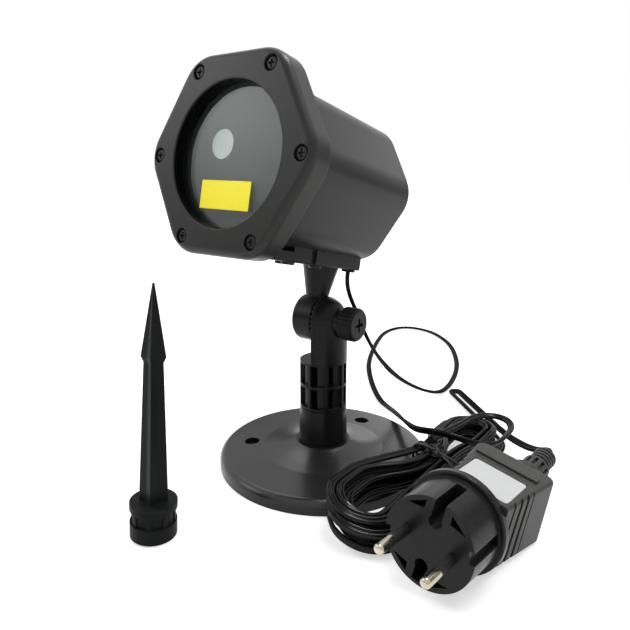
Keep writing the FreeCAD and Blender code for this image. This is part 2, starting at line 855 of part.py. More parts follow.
bench = fused([bench] + [moved(mirrorPost, x, mirrorCentreY, 0) for x in (greenX, redX)])
deliver("optics_bench", onHead(bench))


def module(x):
    body = rod(moduleRadius, vec(x, moduleFrontY, apertureZ), moduleLength, axisY)
    nose = rod(moduleNoseRadius, vec(x, moduleFrontY - moduleNoseLength, apertureZ), moduleNoseLength, axisY)
    return body.fuse(nose)


deliver("laser_module_green", onHead(module(greenX)))
deliver("laser_module_red", onHead(module(redX)))


def mirror(x, turn):
    half = mirrorSide / 2
    base = apertureZ - half
    front = mirrorCentreY - mirrorThick / 2
    plate = box(x - half, x + half, front, front + mirrorThick, base, base + mirrorSide)
    return turned(plate, turn, vec(x, mirrorCentreY, apertureZ), axisZ)


deliver("dichroic_filter", onHead(mirror(greenX, mirrorTurn)))
deliver("fold_mirror", onHead(mirror(redX, mirrorTurn)))

# Grating wheel before the aperture, its motor and bracket
wheelX = apertureX + wheelOffsetX
wheelZ = apertureZ + wheelOffsetZ
wheel = rod(wheelRadius, vec(wheelX, wheelY, wheelZ), wheelThick, axisY)
wheel = wheel.fuse(rod(wheelHub, vec(wheelX, wheelY, wheelZ), wheelHubLength, axisY))
landOuter = wheelRadius * (1 + wheelLandShare) / 2
landInner = wheelRadius * (1 - wheelLandShare) / 2 + wheelHub
landHalf = math.pi / wheelWindowCount * (1 - wheelWebShare)
landPoints = []
for radius, side in ((landInner, -1), (landOuter, -1), (landOuter, 1), (landInner, 1)):
    landPoints.append(
        vec(wheelX + radius * math.cos(side * landHalf), wheelY, wheelZ + radius * math.sin(side * landHalf))
    )
landCut = Part.Face(Part.makePolygon(landPoints + landPoints[:1])).extrude(vec(0, wheelThick / 2, 0))
for cutter in around(landCut, wheelWindowCount, 0.0, vec(wheelX, 0, wheelZ), axisY):
    wheel = wheel.cut(cutter)
wheel = wheel.cut(rod(motorShaft + motorShaftFit, vec(wheelX, 0, wheelZ), bodyRearY, axisY))
deliver("grating_wheel", onHead(wheel))
motorY = wheelY + motorShaftLength
deliver("wheel_shaft", onHead(rod(motorShaft, vec(wheelX, wheelY, wheelZ), motorShaftLength, axisY)))
motor = rod(motorRadius, vec(wheelX, motorY + motorBossLength, wheelZ), motorLength, axisY)
motor = motor.fuse(rod(motorBossRadius, vec(wheelX, motorY, wheelZ), motorBossLength, axisY))
deliver("grating_motor", onHead(motor))
bracketY = motorY + motorBossLength
bracket = box(
    wheelX - bracketHalf,
    wheelX + bracketHalf,
    bracketY + motorLength,
    bracketY + motorLength + bracketThick,
    -bodyApothem + bodyWall,
    wheelZ + bracketHalf,
)
deliver("motor_bracket", onHead(bracket.common(cavityRoom)))

# Driver board hung from the roof of the housing
board = box(-boardHalf, boardHalf, boardFrontY, boardRearY, boardZ, boardZ + boardThick)
roof = bodyApothem - bodyWall
boardCorner = (bodyApothem - bodyWall) / 2
boardParts = [board.common(cavityRoom)]
for x in (-boardCorner + spacerSide, boardCorner - spacerSide):
    for y in (boardFrontY + spacerSide, boardRearY - spacerSide):
        boardParts.append(
            box(x - spacerSide, x, y - spacerSide / 2, y + spacerSide / 2, boardZ + boardThick, roof)
        )
chipY = (boardFrontY + boardRearY) / 2
boardParts.append(box(-chipSide, chipSide, chipY, chipY + chipSide, boardZ - chipThick, boardZ))
for x in (-chipSide, chipSide):
    boardParts.append(rod(capRadius, vec(x, chipY + chipSide * 2, boardZ - capHeight), capHeight, axisZ))
deliver("driver_board", onHead(fused(boardParts).common(cavityRoom)))

# Ground stake
stakeParts = [ring(stakeRingRadius, stakeBore, origin, stakeRingZ, axisZ)]
stakeParts.append(ring(stakeWallIn, stakeBore, origin, stakeWindowZ, axisZ))
stakeRib = box(stakeBore, stakeRibRadius, -stakeRibWidth / 2, stakeRibWidth / 2, 0, stakeWindowZ)
stakeRib = stakeRib.common(ring(stakeRibRadius, stakeBore, origin, stakeWindowZ, axisZ))
stakeParts += around(stakeRib, stakeRibCount)
stakeParts.append(rod(stakeFlangeRadius, vec(0, 0, stakeWindowZ), stakeFlangeZ - stakeWindowZ, axisZ))


def starWire(half, z):
    points = []
    for i in range(starPoints + 1):
        r = half if i % 2 == 0 else half * stakeValleyShare * math.sqrt(2)
        a = 2 * math.pi * i / starPoints
        points.append(vec(r * math.cos(a), r * math.sin(a), z))
    return Part.makePolygon(points)


shaftSections = (
    (shaftFootHalf, stakeFlangeZ),
    (shaftTopHalf, shaftTopZ),
    (barbHalf, barbZ),
    (stakeTipHalf, stakeTipZ),
)
for lower, upper in zip(shaftSections[:-1], shaftSections[1:]):
    stakeParts.append(Part.makeLoft([starWire(*lower), starWire(*upper)], True, True))
stake = turned(fused(stakeParts), stakeTurn)
leanAxis = FreeCAD.Rotation(axisZ, stakeLeanHeading).multVec(axisY)
stake = turned(stake, stakeLean, origin, leanAxis)
stakeLift = stakeRingRadius * math.sin(math.radians(stakeLean))
deliver("ground_stake", moved(stake, stakeX, stakeY, stakeLift))

# Plug
plug = Part.makeCone(plugRadius, plugRadius + plugTaper, plugDepth, origin, axisY)
flange = rod(plugFlangeRadius, vec(0, plugDepth, 0), plugFlangeThick, axisY)
flange = flange.makeFillet(plugFlangeLip, edgesAtY(flange, plugDepth))
plug = plug.fuse(flange)
for sign in (-1, 1):
    # the upper slot opens at the side of the plug, the lower one stops at its rim
    slotTop = plugRadius + runOut if sign > 0 else plugRadius - earthRimWall
    earth = rod(earthRadius, vec(0, -runOut, earthOffset), earthDepth + runOut, axisY)
    earth = earth.fuse(box(-earthSlotHalf, earthSlotHalf, -runOut, earthDepth, earthOffset, slotTop))
    side = box(
        plugRadius - sideGrooveDepth,
        plugRadius + runOut,
        -runOut,
        plugDepth - plugFlangeLip,
        -sideGrooveHalf,
        sideGrooveHalf,
    )
    side = turned(side, -sideGrooveTurn, origin, axisY)
    if sign < 0:
        earth = turned(earth, 180.0, origin, axisY)
        side = turned(side, 180.0, origin, axisY)
    plug = plug.cut(earth).cut(side)
corners = []
for radius, angle in zip(coreOutRadii, coreOutAngles):
    corners.append(vec(radius * math.cos(math.radians(angle)), 0, radius * math.sin(math.radians(angle))))
coreOut = Part.Face(Part.makePolygon(corners + corners[:1])).extrude(vec(0, coreOutDepth, 0))
mirrored = coreOut.mirror(origin, axisX)
for cutter in (coreOut, mirrored):
    plug = plug.cut(cutter).cut(cutter.mirror(origin, axisZ))
for sign in (-1, 1):
    plug = plug.cut(rod(pinCore + pinFit, vec(sign * pinSpacing / 2, 0, 0), pinRoot, axisY))
deliver("plug_body", onAdapter(plug.removeSplitter()))

pins = []
sleeves = []
for sign in (-1, 1):
    x = sign * pinSpacing / 2
    tip = rod(pinRadius, vec(x, -pinLength, 0), pinLength - sleeveLength, axisY)
    tip = tip.makeFillet(pinRadius * pinRoundShare, edgesAtY(tip, -pinLength))
    pins.append(tip.fuse(rod(pinCore, vec(x, -sleeveLength, 0), sleeveLength + pinRoot, axisY)))
    sleeves.append(ring(pinRadius, pinCore + pinFit, vec(x, -sleeveLength, 0), sleeveLength, axisY))
deliver("plug_pins", onAdapter(Part.makeCompound(pins)))
deliver("pin_sleeves", onAdapter(Part.makeCompound(sleeves)))

# Adapter case: box widening to the rear, with rounded rear corners, split along a line low on its sides
caseFrontY = plugDepth + plugFlangeThick


def caseWire(y, half, draft, inset):
    top = caseTopZ - inset
    low = caseBottomZ + inset
    points = [
        (caseMidX - half + inset, top),
        (caseMidX + half - inset, top),
        (caseMidX + half + draft - inset, low),
        (caseMidX - half - draft + inset, low),
    ]
    return Part.makePolygon([vec(x, y, z) for x, z in points + points[:1]])


def caseBlock(inset):
    front = caseWire(caseFrontY + inset, caseFrontHalf, caseDraft, inset)
    rear = caseWire(caseRearY - inset, caseRearHalf, caseRearDraft, inset)
    return Part.makeLoft([front, rear], True, True)


outer = caseBlock(0.0)
upright = [e for e in edgesAtY(outer, caseRearY) if e.BoundBox.ZLength > caseCorner]
outer = outer.makeFillet(caseCorner, upright)
rims = []
for edge in edgesAtZ(outer, caseTopZ) + edgesAtZ(outer, caseBottomZ):
    if edge.BoundBox.YMax > caseFrontY + caseEdge:
        rims.append(edge)
outer = outer.makeFillet(caseEdge, rims)
inner = caseBlock(caseWall)
bar = box(barX0, barX1, barY0, barY1, caseTopZ - barRoot, caseTopZ + barHeight)
bootRoom = rod(bootNeckRadius, vec(0, -bootRoot, 0), bootRoot + bootBaseLength, axisY)
bootDirection = FreeCAD.Rotation(axisX, bootTilt)
bootPlace = FreeCAD.Placement(vec(bootX, caseRearY, bootZ), bootDirection)
bootRoom.Placement = bootPlace
farSide = caseRearY * 2
upper = outer.common(box(-farSide, farSide, 0, farSide, caseSplitZ, farSide)).cut(inner).fuse(bar)
upper = upper.cut(box(labelX0, labelX1, labelY0, labelY1, caseTopZ - labelDepth, farSide))
lower = outer.common(box(-farSide, farSide, 0, farSide, -farSide, caseSplitZ)).cut(inner)
for y, width in caseGrooves:
    along = (y - caseFrontY) / (caseRearY - caseFrontY)
    half = caseFrontHalf + (caseRearHalf - caseFrontHalf) * along
    draft = caseDraft + (caseRearDraft - caseDraft) * along
    for sign in (-1, 1):
        topX = half - caseGrooveDepth
        lowX = half + draft - caseGrooveDepth
        points = [(topX, caseTopZ), (lowX, caseBottomZ), (farSide, caseBottomZ), (farSide, caseTopZ)]
        wire = Part.makePolygon([vec(caseMidX + sign * px, y, pz) for px, pz in points + points[:1]])
        groove = Part.Face(wire).extrude(vec(0, width, 0))
        upper = upper.cut(groove)
        lower = lower.cut(groove)
upper = upper.cut(bootRoom)
deliver("adapter_case", onAdapter(upper.removeSplitter()))
deliver("adapter_cover", onAdapter(lower.removeSplitter()))

# Strain relief: round base on the rear of the case, slotted neck, rings at the end
bootBase = rod(bootBaseRadius, vec(0, -bootRoot, 0), bootRoot + bootBaseLength, axisY)
bootBase = bootBase.makeFillet(bootRoot / 2, edgesAtY(bootBase, bootBaseLength))
bootNeck = rod(bootNeckRadius, vec(0, -bootRoot, 0), bootRoot + bootNeckEnd, axisY)
slotHalf = bootSlotWidth / 2
slotFloor = bootNeckRadius - bootSlotDepth
bootSlot = box(slotFloor, bootNeckRadius + runOut, bootSlotY0, bootSlotY1, -slotHalf, slotHalf)
for cutter in around(bootSlot, bootSlotCount, 0.0, origin, axisY):
    bootNeck = bootNeck.cut(cutter)
bootParts = [bootBase, bootNeck, rod(bootTipRadius, origin, bootLength, axisY)]
for i in range(bootRingCount):
    y = bootLength - bootRingWidth - bootRingStep * i
    bootParts.append(rod(bootRingRadius, vec(0, y, 0), bootRingWidth, axisY))
boot = fused(bootParts)
boot = boot.cut(rod(cordRoom, vec(0, -bootRoot - runOut, 0), bootRoot + bootLength + runOut * 2, axisY))
boot.Placement = bootPlace
boot = boot.cut(outer.cut(bootRoom))
deliver("adapter_boot", onAdapter(boot))

# Board with a small transformer inside the adapter
boardX0 = caseMidX - adapterBoardHalf
boardX1 = caseMidX + adapterBoardHalf
adapterBoard = box(boardX0, boardX1, transformerY0, adapterBoardY1, adapterBoardZ - boardThick, adapterBoardZ)
coilX = caseMidX - transformerHalf
coilTop = adapterBoardZ + transformerHeight
coilBlock = box(coilX, coilX + transformerHalf * 2, transformerY0, transformerY1, adapterBoardZ, coilTop)
canY = adapterBoardY1 - capRadius * 2
filterCan = rod(capRadius, vec(coilX + capRadius, canY, adapterBoardZ), capHeight, axisZ)
boardLegs = []
legFoot = caseBottomZ + caseWall
for x in (boardX0, boardX1 - spacerSide):
    for y in (transformerY0, adapterBoardY1 - spacerSide):
        boardLegs.append(box(x, x + spacerSide, y, y + spacerSide, legFoot, adapterBoardZ))
deliver("adapter_board", onAdapter(fused([adapterBoard, coilBlock, filterCan] + boardLegs)))

# Hank
hankOffset = []
for s in range(hankRuns):
    phase = s % (2 * hankLayerRuns)
    hankOffset.append((phase if phase <= hankLayerRuns else 2 * hankLayerRuns - phase) / 2)


def hankNode(s, spot, layer):
    # spot 0 is the rear lobe, 1 the waist and 2 the front lobe
    side = 1 if s % 2 == 0 else -1
    if spot == 0:
        return vec(rearX + side * (rearHalf - hankOffset[s] * lobeStep), rearY, rearZ + layer * lobeLayer)
    if spot == 1:
        reach = side * (waistHalf - hankOffset[s] * waistStep)
        low = (waistLeftZ + waistRightZ) / 2 + (waistRightZ - waistLeftZ) / 2 * reach / waistHalf
        return vec(waistX + reach, waistY, low + layer * waistLayer)
    low = frontRightZ if side > 0 else frontLeftZ
    return vec(frontX + side * (frontHalf - hankOffset[s] * lobeStep), frontY, low + layer * lobeLayer)


def swayArcs(p0, p1):
    # two equal arcs that leave p0 and reach p1 along Y and change hand half way
    along = axisY if p1.y > p0.y else axisY.negative()
    across = p1 - p0
    reach = across.dot(along)
    across = across - along * reach
    drift = across.Length
    if drift < linearTolerance:
        return [Part.LineSegment(p0, p1)]
    across.normalize()
    beta = math.atan2(drift, reach)
    rho = math.hypot(reach, drift) / 2 / (2 * math.sin(beta))
    step = along * (rho * math.sin(beta)) + across * (rho * (1 - math.cos(beta)))
    middle = (p0 + p1) / 2
    hankRadii.append(rho)
    return [Part.Arc(p0, p0 + step, middle), Part.Arc(middle, p1 - step, p1)]


def hankLayers(s):
    after = s // hankLayerRuns
    before = after - 1 if s > 0 and s % hankLayerRuns == 0 else after
    return before, after


hankRadii = []
hankPieces = []
for s in range(hankRuns):
    before, after = hankLayers(s)
    order = (0, 1, 2) if s % 2 == 0 else (2, 1, 0)
    levels = (before, (before + after) / 2, after)
    stops = [hankNode(s, spot, level) for spot, level in zip(order, levels)]
    if s > 0:
        previous = hankPieces[-1].EndPoint
        centre = (previous + stops[0]) / 2
        bulge = axisY if previous.y > waistY else axisY.negative()
        hankRadii.append((previous - stops[0]).Length / 2)
        hankPieces.append(Part.Arc(previous, centre + bulge * hankRadii[-1], stops[0]))
    hankPieces += swayArcs(stops[0], stops[1])
    if s < hankRuns - 1:
        hankPieces += swayArcs(stops[1], stops[2])
hankStart = hankPieces[0].StartPoint
hankEnd = hankPieces[-1].EndPoint
hankWire = Part.Wire([piece.toShape() for piece in hankPieces])
hankProfile = Part.Wire([Part.makeCircle(cordDiameter / 2, hankStart, axisY)])
hank = hankWire.makePipeShell([hankProfile], True, False)

spots = []
travelled = 0.0
for edge in hankWire.OrderedEdges:
    points = edge.discretize(max(hankSampleLeast, int(edge.Length / hankSampleStep)))
    for a in points[:-1]:
        spots.append((travelled, a))
        travelled += edge.Length / (len(points) - 1)
leastGap = hankWire.Length
hankSkip = cordDiameter * 3
for i in range(len(spots)):
    ti, pi = spots[i]
    for j in range(i + 1, len(spots)):
        tj, pj = spots[j]
        if tj - ti > hankSkip:
            gap = pi.distanceToPoint(pj)
            if gap < leastGap:
                leastGap = gap
                closest = (pi, pj)
deliver("cord_hank", hank)
sectionArea = math.pi * cordDiameter ** 2 / 4
print("hank length", round(hankWire.Length, 1), "least radius", round(min(hankRadii), 2))
print("hank gap", round(leastGap - cordDiameter, 3), "wanted above", hankLeastGap, closest)
print("hank volume share", round(hank.Volume / (hankWire.Length * sectionArea), 4), "valid", hank.isValid())

# Twist tie: a flat loop round the waist and a twisted tail on its top
tieLeft = waistX - waistHalf - cordDiameter / 2 - tieGap
tieRight = waistX + waistHalf + cordDiameter / 2 + tieGap
tieRise = (hankRuns // hankLayerRuns - 1) * waistLayer + cordDiameter / 2 + tieGap
tieDrop = cordDiameter / 2 + tieGap


def tieLoop(grow):
    corners = [
        (tieLeft - grow, waistLeftZ - tieDrop - grow),
        (tieRight + grow, waistRightZ - tieDrop - grow),
        (tieRight + grow, waistRightZ + tieRise + grow),
        (tieLeft - grow, waistLeftZ + tieRise + grow),
    ]
    wire = Part.makePolygon([vec(x, waistY - tieBand / 2, z) for x, z in corners + corners[:1]])
    block = Part.Face(wire).extrude(vec(0, tieBand, 0))
    alongY = [e for e in block.Edges if e.BoundBox.YLength > tieBand / 2]
    return block.makeFillet(tieCorner / 2 + grow, alongY)


tie = tieLoop(tieWire).cut(tieLoop(0.0))
tieHigh = (waistLeftZ + waistRightZ) / 2 + tieRise
tailWires = []
for i in range(tieTailSteps):
    share = i / (tieTailSteps - 1)
    a = math.radians(tieTailTurn * i)
    points = []
    for u, w in ((-1, -1), (1, -1), (1, 1), (-1, 1), (-1, -1)):
        du = u * tieTailThick / 2
        dw = w * tieTailWidth / 2
        points.append(
            vec(
                du * math.cos(a) - dw * math.sin(a),
                du * math.sin(a) + dw * math.cos(a),
                tieTailLength * share,
            )
        )
    tailWires.append(Part.makePolygon(points))
tail = Part.makeLoft(tailWires, True, True)
tail.rotate(origin, axisX, tieTailTilt)
tail.translate(vec(waistX, waistY, tieHigh + tieWire / 2))
tie = tie.fuse(tail).removeSplitter()
deliver("twist_tie", tie)


# Cords: straight runs joined by tangent arcs
def cordTube(points, label):
    pieces = []
    start = points[0]
    radii = []
    for i in range(1, len(points) - 1):
        before = points[i - 1] - points[i]
        after = points[i + 1] - points[i]
        turn = math.pi - before.getAngle(after)
        shorter = min(before.Length, after.Length)
        radii.append(cornerShare * shorter / math.tan(turn / 2))
        trim = cornerShare * shorter
        p0 = points[i] + before.normalize() * trim
        p2 = points[i] + after.normalize() * trim
        inward = (before + after).normalize()
        centreDistance = math.hypot(radii[-1], trim)
        p1 = points[i] + inward * (centreDistance - radii[-1])
        pieces.append(Part.LineSegment(start, p0))
        pieces.append(Part.Arc(p0, p1, p2))
        start = p2
    pieces.append(Part.LineSegment(start, points[-1]))
    wire = Part.Wire([piece.toShape() for piece in pieces])
    heading = points[1] - points[0]
    profile = Part.Wire([Part.makeCircle(cordDiameter / 2, points[0], heading)])
    tube = wire.makePipeShell([profile], True, False)
    print(label, "length", round(wire.Length, 1), "radii", [round(r, 1) for r in radii])
    print(label, "volume share", round(tube.Volume / (wire.Length * sectionArea), 4), "valid", tube.isValid())
    return tube


glandMouth = headPlace.multVec(
    vec(glandX - headHingeX, glandY - headHingeY, saddleBottomZ - glandDrop - headHingeZ)
)
glandDown = headPlace.Rotation.multVec(axisZ.negative())
lampPoints = [glandMouth, glandMouth + glandDown * glandDropLength]
lampPoints += [vec(*p) for p in lampRoute]
lampPoints += [hankEnd]
deliver("lamp_cord", cordTube(lampPoints, "lamp cord"))

bootAxis = adapterPlace.Rotation.multVec(bootDirection.multVec(axisY))
bootMouth = adapterPlace.multVec(bootPlace.multVec(axisY * bootLength))
leadPoints = [bootMouth, bootMouth + bootAxis * leadDropLength]
leadPoints += [vec(*p) for p in leadRoute]
leadPoints += [hankStart + axisY * leadApproach, hankStart]
deliver("adapter_lead", cordTube(leadPoints, "adapter lead"))

print("gland mouth", glandMouth, "boot mouth", bootMouth, "hank", hankStart, hankEnd)
for name, shape in made.items():
    span = shape.BoundBox
    if not shape.isValid() or span.ZMin < -linearTolerance:
        print("look at", name, shape.isValid(), round(span.ZMin, 3))
    print(name, len(shape.Solids), "solids", round(shape.Volume, 1), "mm3")
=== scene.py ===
import bpy
import numpy as np
from mathutils import Matrix, Vector


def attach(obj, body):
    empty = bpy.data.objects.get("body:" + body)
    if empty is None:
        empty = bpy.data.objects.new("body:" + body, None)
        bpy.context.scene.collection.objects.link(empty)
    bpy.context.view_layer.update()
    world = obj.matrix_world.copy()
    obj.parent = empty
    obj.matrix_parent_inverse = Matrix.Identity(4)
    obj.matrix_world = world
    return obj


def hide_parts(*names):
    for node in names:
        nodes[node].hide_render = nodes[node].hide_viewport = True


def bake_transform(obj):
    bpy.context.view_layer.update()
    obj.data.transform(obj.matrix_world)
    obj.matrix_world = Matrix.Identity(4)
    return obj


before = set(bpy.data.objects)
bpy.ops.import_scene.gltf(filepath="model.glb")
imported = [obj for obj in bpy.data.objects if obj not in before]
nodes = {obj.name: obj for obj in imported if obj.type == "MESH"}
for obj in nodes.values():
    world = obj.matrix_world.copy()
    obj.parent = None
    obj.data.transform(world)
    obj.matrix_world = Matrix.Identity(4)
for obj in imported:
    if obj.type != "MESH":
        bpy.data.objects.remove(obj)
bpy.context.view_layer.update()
mm = 0.001
print("frame loaded:", len(nodes), "nodes")

# Camera: same stand, height and lens as the picture, which is 630 x 630
viewSetup = {
    "position": (0.16746, -0.23327, 0.15331),
    "right": (0.8031, 0.5959, 0.0012),
    "up": (-0.1480, 0.1976, 0.9690),
    "back": (0.5772, -0.7784, 0.2469),
    "lens": 33.175,
    "sensor": 36.0,
    "near": 0.01,
}
cameraData = bpy.data.cameras.new("studioCamera")
cameraData.lens = viewSetup["lens"]
cameraData.sensor_width = viewSetup["sensor"]
cameraData.clip_start = viewSetup["near"]
camera = bpy.data.objects.new("studioCamera", cameraData)
bpy.context.scene.collection.objects.link(camera)
axes = [Vector(viewSetup[key]).normalized() for key in ("right", "up", "back")]
camera.matrix_world = Matrix.Translation(viewSetup["position"]) @ Matrix(axes).transposed().to_4x4()
bpy.context.scene.camera = camera
bpy.context.scene.view_settings.view_transform = "Standard"


# Small helpers for meshes
def meshPiece(name, points, faces, uv=None):
    mesh = bpy.data.meshes.new(name)
    mesh.from_pydata(points.tolist(), [], faces)
    mesh.polygons.foreach_set("use_smooth", np.ones(len(mesh.polygons), bool))
    if uv is not None:
        layer = mesh.uv_layers.new(name="surfaceMap")
        corner = np.empty(len(mesh.loops), np.int32)
        mesh.loops.foreach_get("vertex_index", corner)
        layer.data.foreach_set("uv", uv[corner].ravel())
    mesh.update()
    piece = bpy.data.objects.new(name, mesh)
    bpy.context.scene.collection.objects.link(piece)
    return piece


def gridFaces(rows, columns, wrap):
    # quads between neighbouring rows of a grid; with wrap the last column joins the first
    i = np.arange(rows - 1)[:, None]
    j = np.arange(columns if wrap else columns - 1)[None, :]
    k = (j + 1) % columns
    quads = np.stack([i * columns + j, i * columns + k, (i + 1) * columns + k, (i + 1) * columns + j], -1)
    return quads.reshape(-1, 4).tolist()


def unit(v):
    return v / np.linalg.norm(v, axis=-1, keepdims=True)


def ringsAround(path, wide, thin, across, upward):
    # rows of points path + across wide + upward thin, one row for every point of the path
    return path[:, None] + across[None, :, None] * wide[:, None] + upward[None, :, None] * thin[:, None]


def turnX(degrees):
    a = np.radians(degrees)
    return np.array([[1, 0, 0], [0, np.cos(a), -np.sin(a)], [0, np.sin(a), np.cos(a)]])


def turnY(degrees):
    a = np.radians(degrees)
    return np.array([[np.cos(a), 0, np.sin(a)], [0, 1, 0], [-np.sin(a), 0, np.cos(a)]])


def turnZ(degrees):
    a = np.radians(degrees)
    return np.array([[np.cos(a), -np.sin(a), 0], [np.sin(a), np.cos(a), 0], [0, 0, 1]])


# Node groups shared by the finishes
groupSetup = {
    "grainShare": 0.45,
    "colourContrast": 2.2,
    "roughContrast": 3.0,
    "bevelSamples": 6,
    "patchScale": 240.0,
    "patchStart": 0.32,
    "patchGain": 2.4,
    "dustSlope": (0.3, 1.0),
    "speckStart": 0.42,
    "speckGain": 3.0,
    "speckShare": 0.6,
    "filmScale": 30.0,
}


def startGroup(name, inputs, outputs):
    group = bpy.data.node_groups.new(name, "ShaderNodeTree")
    for label, kind, value in inputs:
        socket = group.interface.new_socket(label, in_out="INPUT", socket_type=kind)
        socket.default_value = value
    for label, kind in outputs:
        group.interface.new_socket(label, in_out="OUTPUT", socket_type=kind)
    return group, group.nodes.new("NodeGroupInput"), group.nodes.new("NodeGroupOutput")


def mathNode(tree, operation, first, second=None, clamp=False):
    node = tree.nodes.new("ShaderNodeMath")
    node.operation = operation
    node.use_clamp = clamp
    for socket, value in zip(node.inputs, (first, second)):
        if isinstance(value, (int, float)):
            socket.default_value = value
        elif value is not None:
            tree.links.new(value, socket)
    return node.outputs[0]


def plus(tree, first, second, clamp=False):
    return mathNode(tree, "ADD", first, second, clamp)


def minus(tree, first, second, clamp=False):
    return mathNode(tree, "SUBTRACT", first, second, clamp)


def times(tree, first, second, clamp=False):
    return mathNode(tree, "MULTIPLY", first, second, clamp)


def heldLine(tree, value, start, gain):
    # (value - start) gain, held between 0 and 1
    return times(tree, minus(tree, value, start), gain, clamp=True)


def squared(tree, value):
    return times(tree, value, value)


def between(tree, share, low, high):
    # low + (high - low) share
    return plus(tree, times(tree, share, high - low), low)


def mixColour(tree, factor, first, second):
    node = tree.nodes.new("ShaderNodeMix")
    node.data_type = "RGBA"
    for socket, value in ((node.inputs["Factor"], factor), (node.inputs[6], first), (node.inputs[7], second)):
        if isinstance(value, bpy.types.NodeSocket):
            tree.links.new(value, socket)
        else:
            socket.default_value = value
    return node.outputs[2]


def noiseNode(tree, vector, scale, detail):
    node = tree.nodes.new("ShaderNodeTexNoise")
    node.inputs["Detail"].default_value = detail
    tree.links.new(vector, node.inputs["Vector"])
    if isinstance(scale, bpy.types.NodeSocket):
        tree.links.new(scale, node.inputs["Scale"])
    else:
        node.inputs["Scale"].default_value = scale
    return node.outputs["Fac"]


def makeGrainGroup(setup):
    # fine moulded grain over slow clouds: colour, roughness and height from the same two noises
    group, source, result = startGroup(
        "mouldedGrain",
        [
            ("Deep", "NodeSocketColor", (0.03, 0.03, 0.03, 1)),
            ("Pale", "NodeSocketColor", (0.05, 0.05, 0.05, 1)),
            ("Grain Scale", "NodeSocketFloat", 1500.0),
            ("Cloud Scale", "NodeSocketFloat", 22.0),
            ("Roughness", "NodeSocketFloat", 0.45),
            ("Spread", "NodeSocketFloat", 0.1),
        ],
        [("Color", "NodeSocketColor"), ("Roughness", "NodeSocketFloat"), ("Height", "NodeSocketFloat")],
    )
    spot = group.nodes.new("ShaderNodeTexCoord").outputs["Object"]
    grain = noiseNode(group, spot, source.outputs["Grain Scale"], 3.0)
    cloud = noiseNode(group, spot, source.outputs["Cloud Scale"], 4.0)
    grainPart = times(group, grain, setup["grainShare"])
    cloudPart = times(group, cloud, 1.0 - setup["grainShare"])
    centred = minus(group, plus(group, grainPart, cloudPart), 0.5)
    share = plus(group, times(group, centred, setup["colourContrast"]), 0.5, clamp=True)
    colour = mixColour(group, share, source.outputs["Deep"], source.outputs["Pale"])
    spread = times(group, times(group, centred, setup["roughContrast"]), source.outputs["Spread"])
    rough = plus(group, source.outputs["Roughness"], spread, clamp=True)
    group.links.new(colour, result.inputs["Color"])
    group.links.new(rough, result.inputs["Roughness"])
    group.links.new(grain, result.inputs["Height"])
    return group


def makeEdgeGroup(setup):
    # corners rounded in shading, and a mask of the corners that hands and cartons rub
    group, source, result = startGroup(
        "rubbedEdges",
        [("Radius", "NodeSocketFloat", 0.0004), ("Gain", "NodeSocketFloat", 2.0)],
        [("Mask", "NodeSocketFloat"), ("Normal", "NodeSocketVector")],
    )
    bevel = group.nodes.new("ShaderNodeBevel")
    bevel.samples = setup["bevelSamples"]
    group.links.new(source.outputs["Radius"], bevel.inputs["Radius"])
    plain = group.nodes.new("ShaderNodeNewGeometry").outputs["Normal"]
    dot = group.nodes.new("ShaderNodeVectorMath")
    dot.operation = "DOT_PRODUCT"
    group.links.new(bevel.outputs["Normal"], dot.inputs[0])
    group.links.new(plain, dot.inputs[1])
    bent = minus(group, 1.0, dot.outputs["Value"], clamp=True)
    spot = group.nodes.new("ShaderNodeTexCoord").outputs["Object"]
    patch = noiseNode(group, spot, setup["patchScale"], 3.0)
    patch = times(group, minus(group, patch, setup["patchStart"], clamp=True), setup["patchGain"])
    mask = times(group, times(group, bent, patch), source.outputs["Gain"], clamp=True)
    group.links.new(mask, result.inputs["Mask"])
    group.links.new(bevel.outputs["Normal"], result.inputs["Normal"])
    return group


def makeDustGroup(setup):
    # thin dust where a face looks up: smooth step of the normal's height times a broken noise
    group, source, result = startGroup(
        "restingDust",
        [("Amount", "NodeSocketFloat", 0.1), ("Scale", "NodeSocketFloat", 700.0)],
        [("Mask", "NodeSocketFloat")],
    )
    coords = group.nodes.new("ShaderNodeTexCoord")
    split = group.nodes.new("ShaderNodeSeparateXYZ")
    group.links.new(coords.outputs["Normal"], split.inputs[0])
    ramp = group.nodes.new("ShaderNodeMapRange")
    ramp.interpolation_type = "SMOOTHSTEP"
    ramp.inputs["From Min"].default_value, ramp.inputs["From Max"].default_value = setup["dustSlope"]
    group.links.new(split.outputs["Z"], ramp.inputs["Value"])
    speck = noiseNode(group, coords.outputs["Object"], source.outputs["Scale"], 2.0)
    speck = times(group, minus(group, speck, setup["speckStart"], clamp=True), setup["speckGain"])
    film = noiseNode(group, coords.outputs["Object"], setup["filmScale"], 3.0)
    speckPart = times(group, speck, setup["speckShare"])
    filmPart = times(group, film, 1.0 - setup["speckShare"])
    total = plus(group, speckPart, filmPart)
    mask = times(group, times(group, total, ramp.outputs["Result"]), source.outputs["Amount"])
    group.links.new(mask, result.inputs["Mask"])
    return group


grainGroup = makeGrainGroup(groupSetup)
edgeGroup = makeEdgeGroup(groupSetup)
dustGroup = makeDustGroup(groupSetup)


def placeGroup(tree, group, **values):
    node = tree.nodes.new("ShaderNodeGroup")
    node.node_tree = group
    for label, value in values.items():
        node.inputs[label.replace("_", " ")].default_value = value
    return node


def startMaterial(name):
    material = bpy.data.materials.new(name)
    material.use_nodes = True
    tree = material.node_tree
    return material, tree, tree.nodes["Principled BSDF"]


def opaque(colour):
    return (*colour, 1.0)


# Moulded finish: edge is a radius in mm, rub and dust are shares
mouldSetup = {
    "rubGain": 10.0,
    "dustColour": (0.42, 0.41, 0.39),
    "dustRough": 0.8,
    "reliefDepth": 0.4 * mm,
}


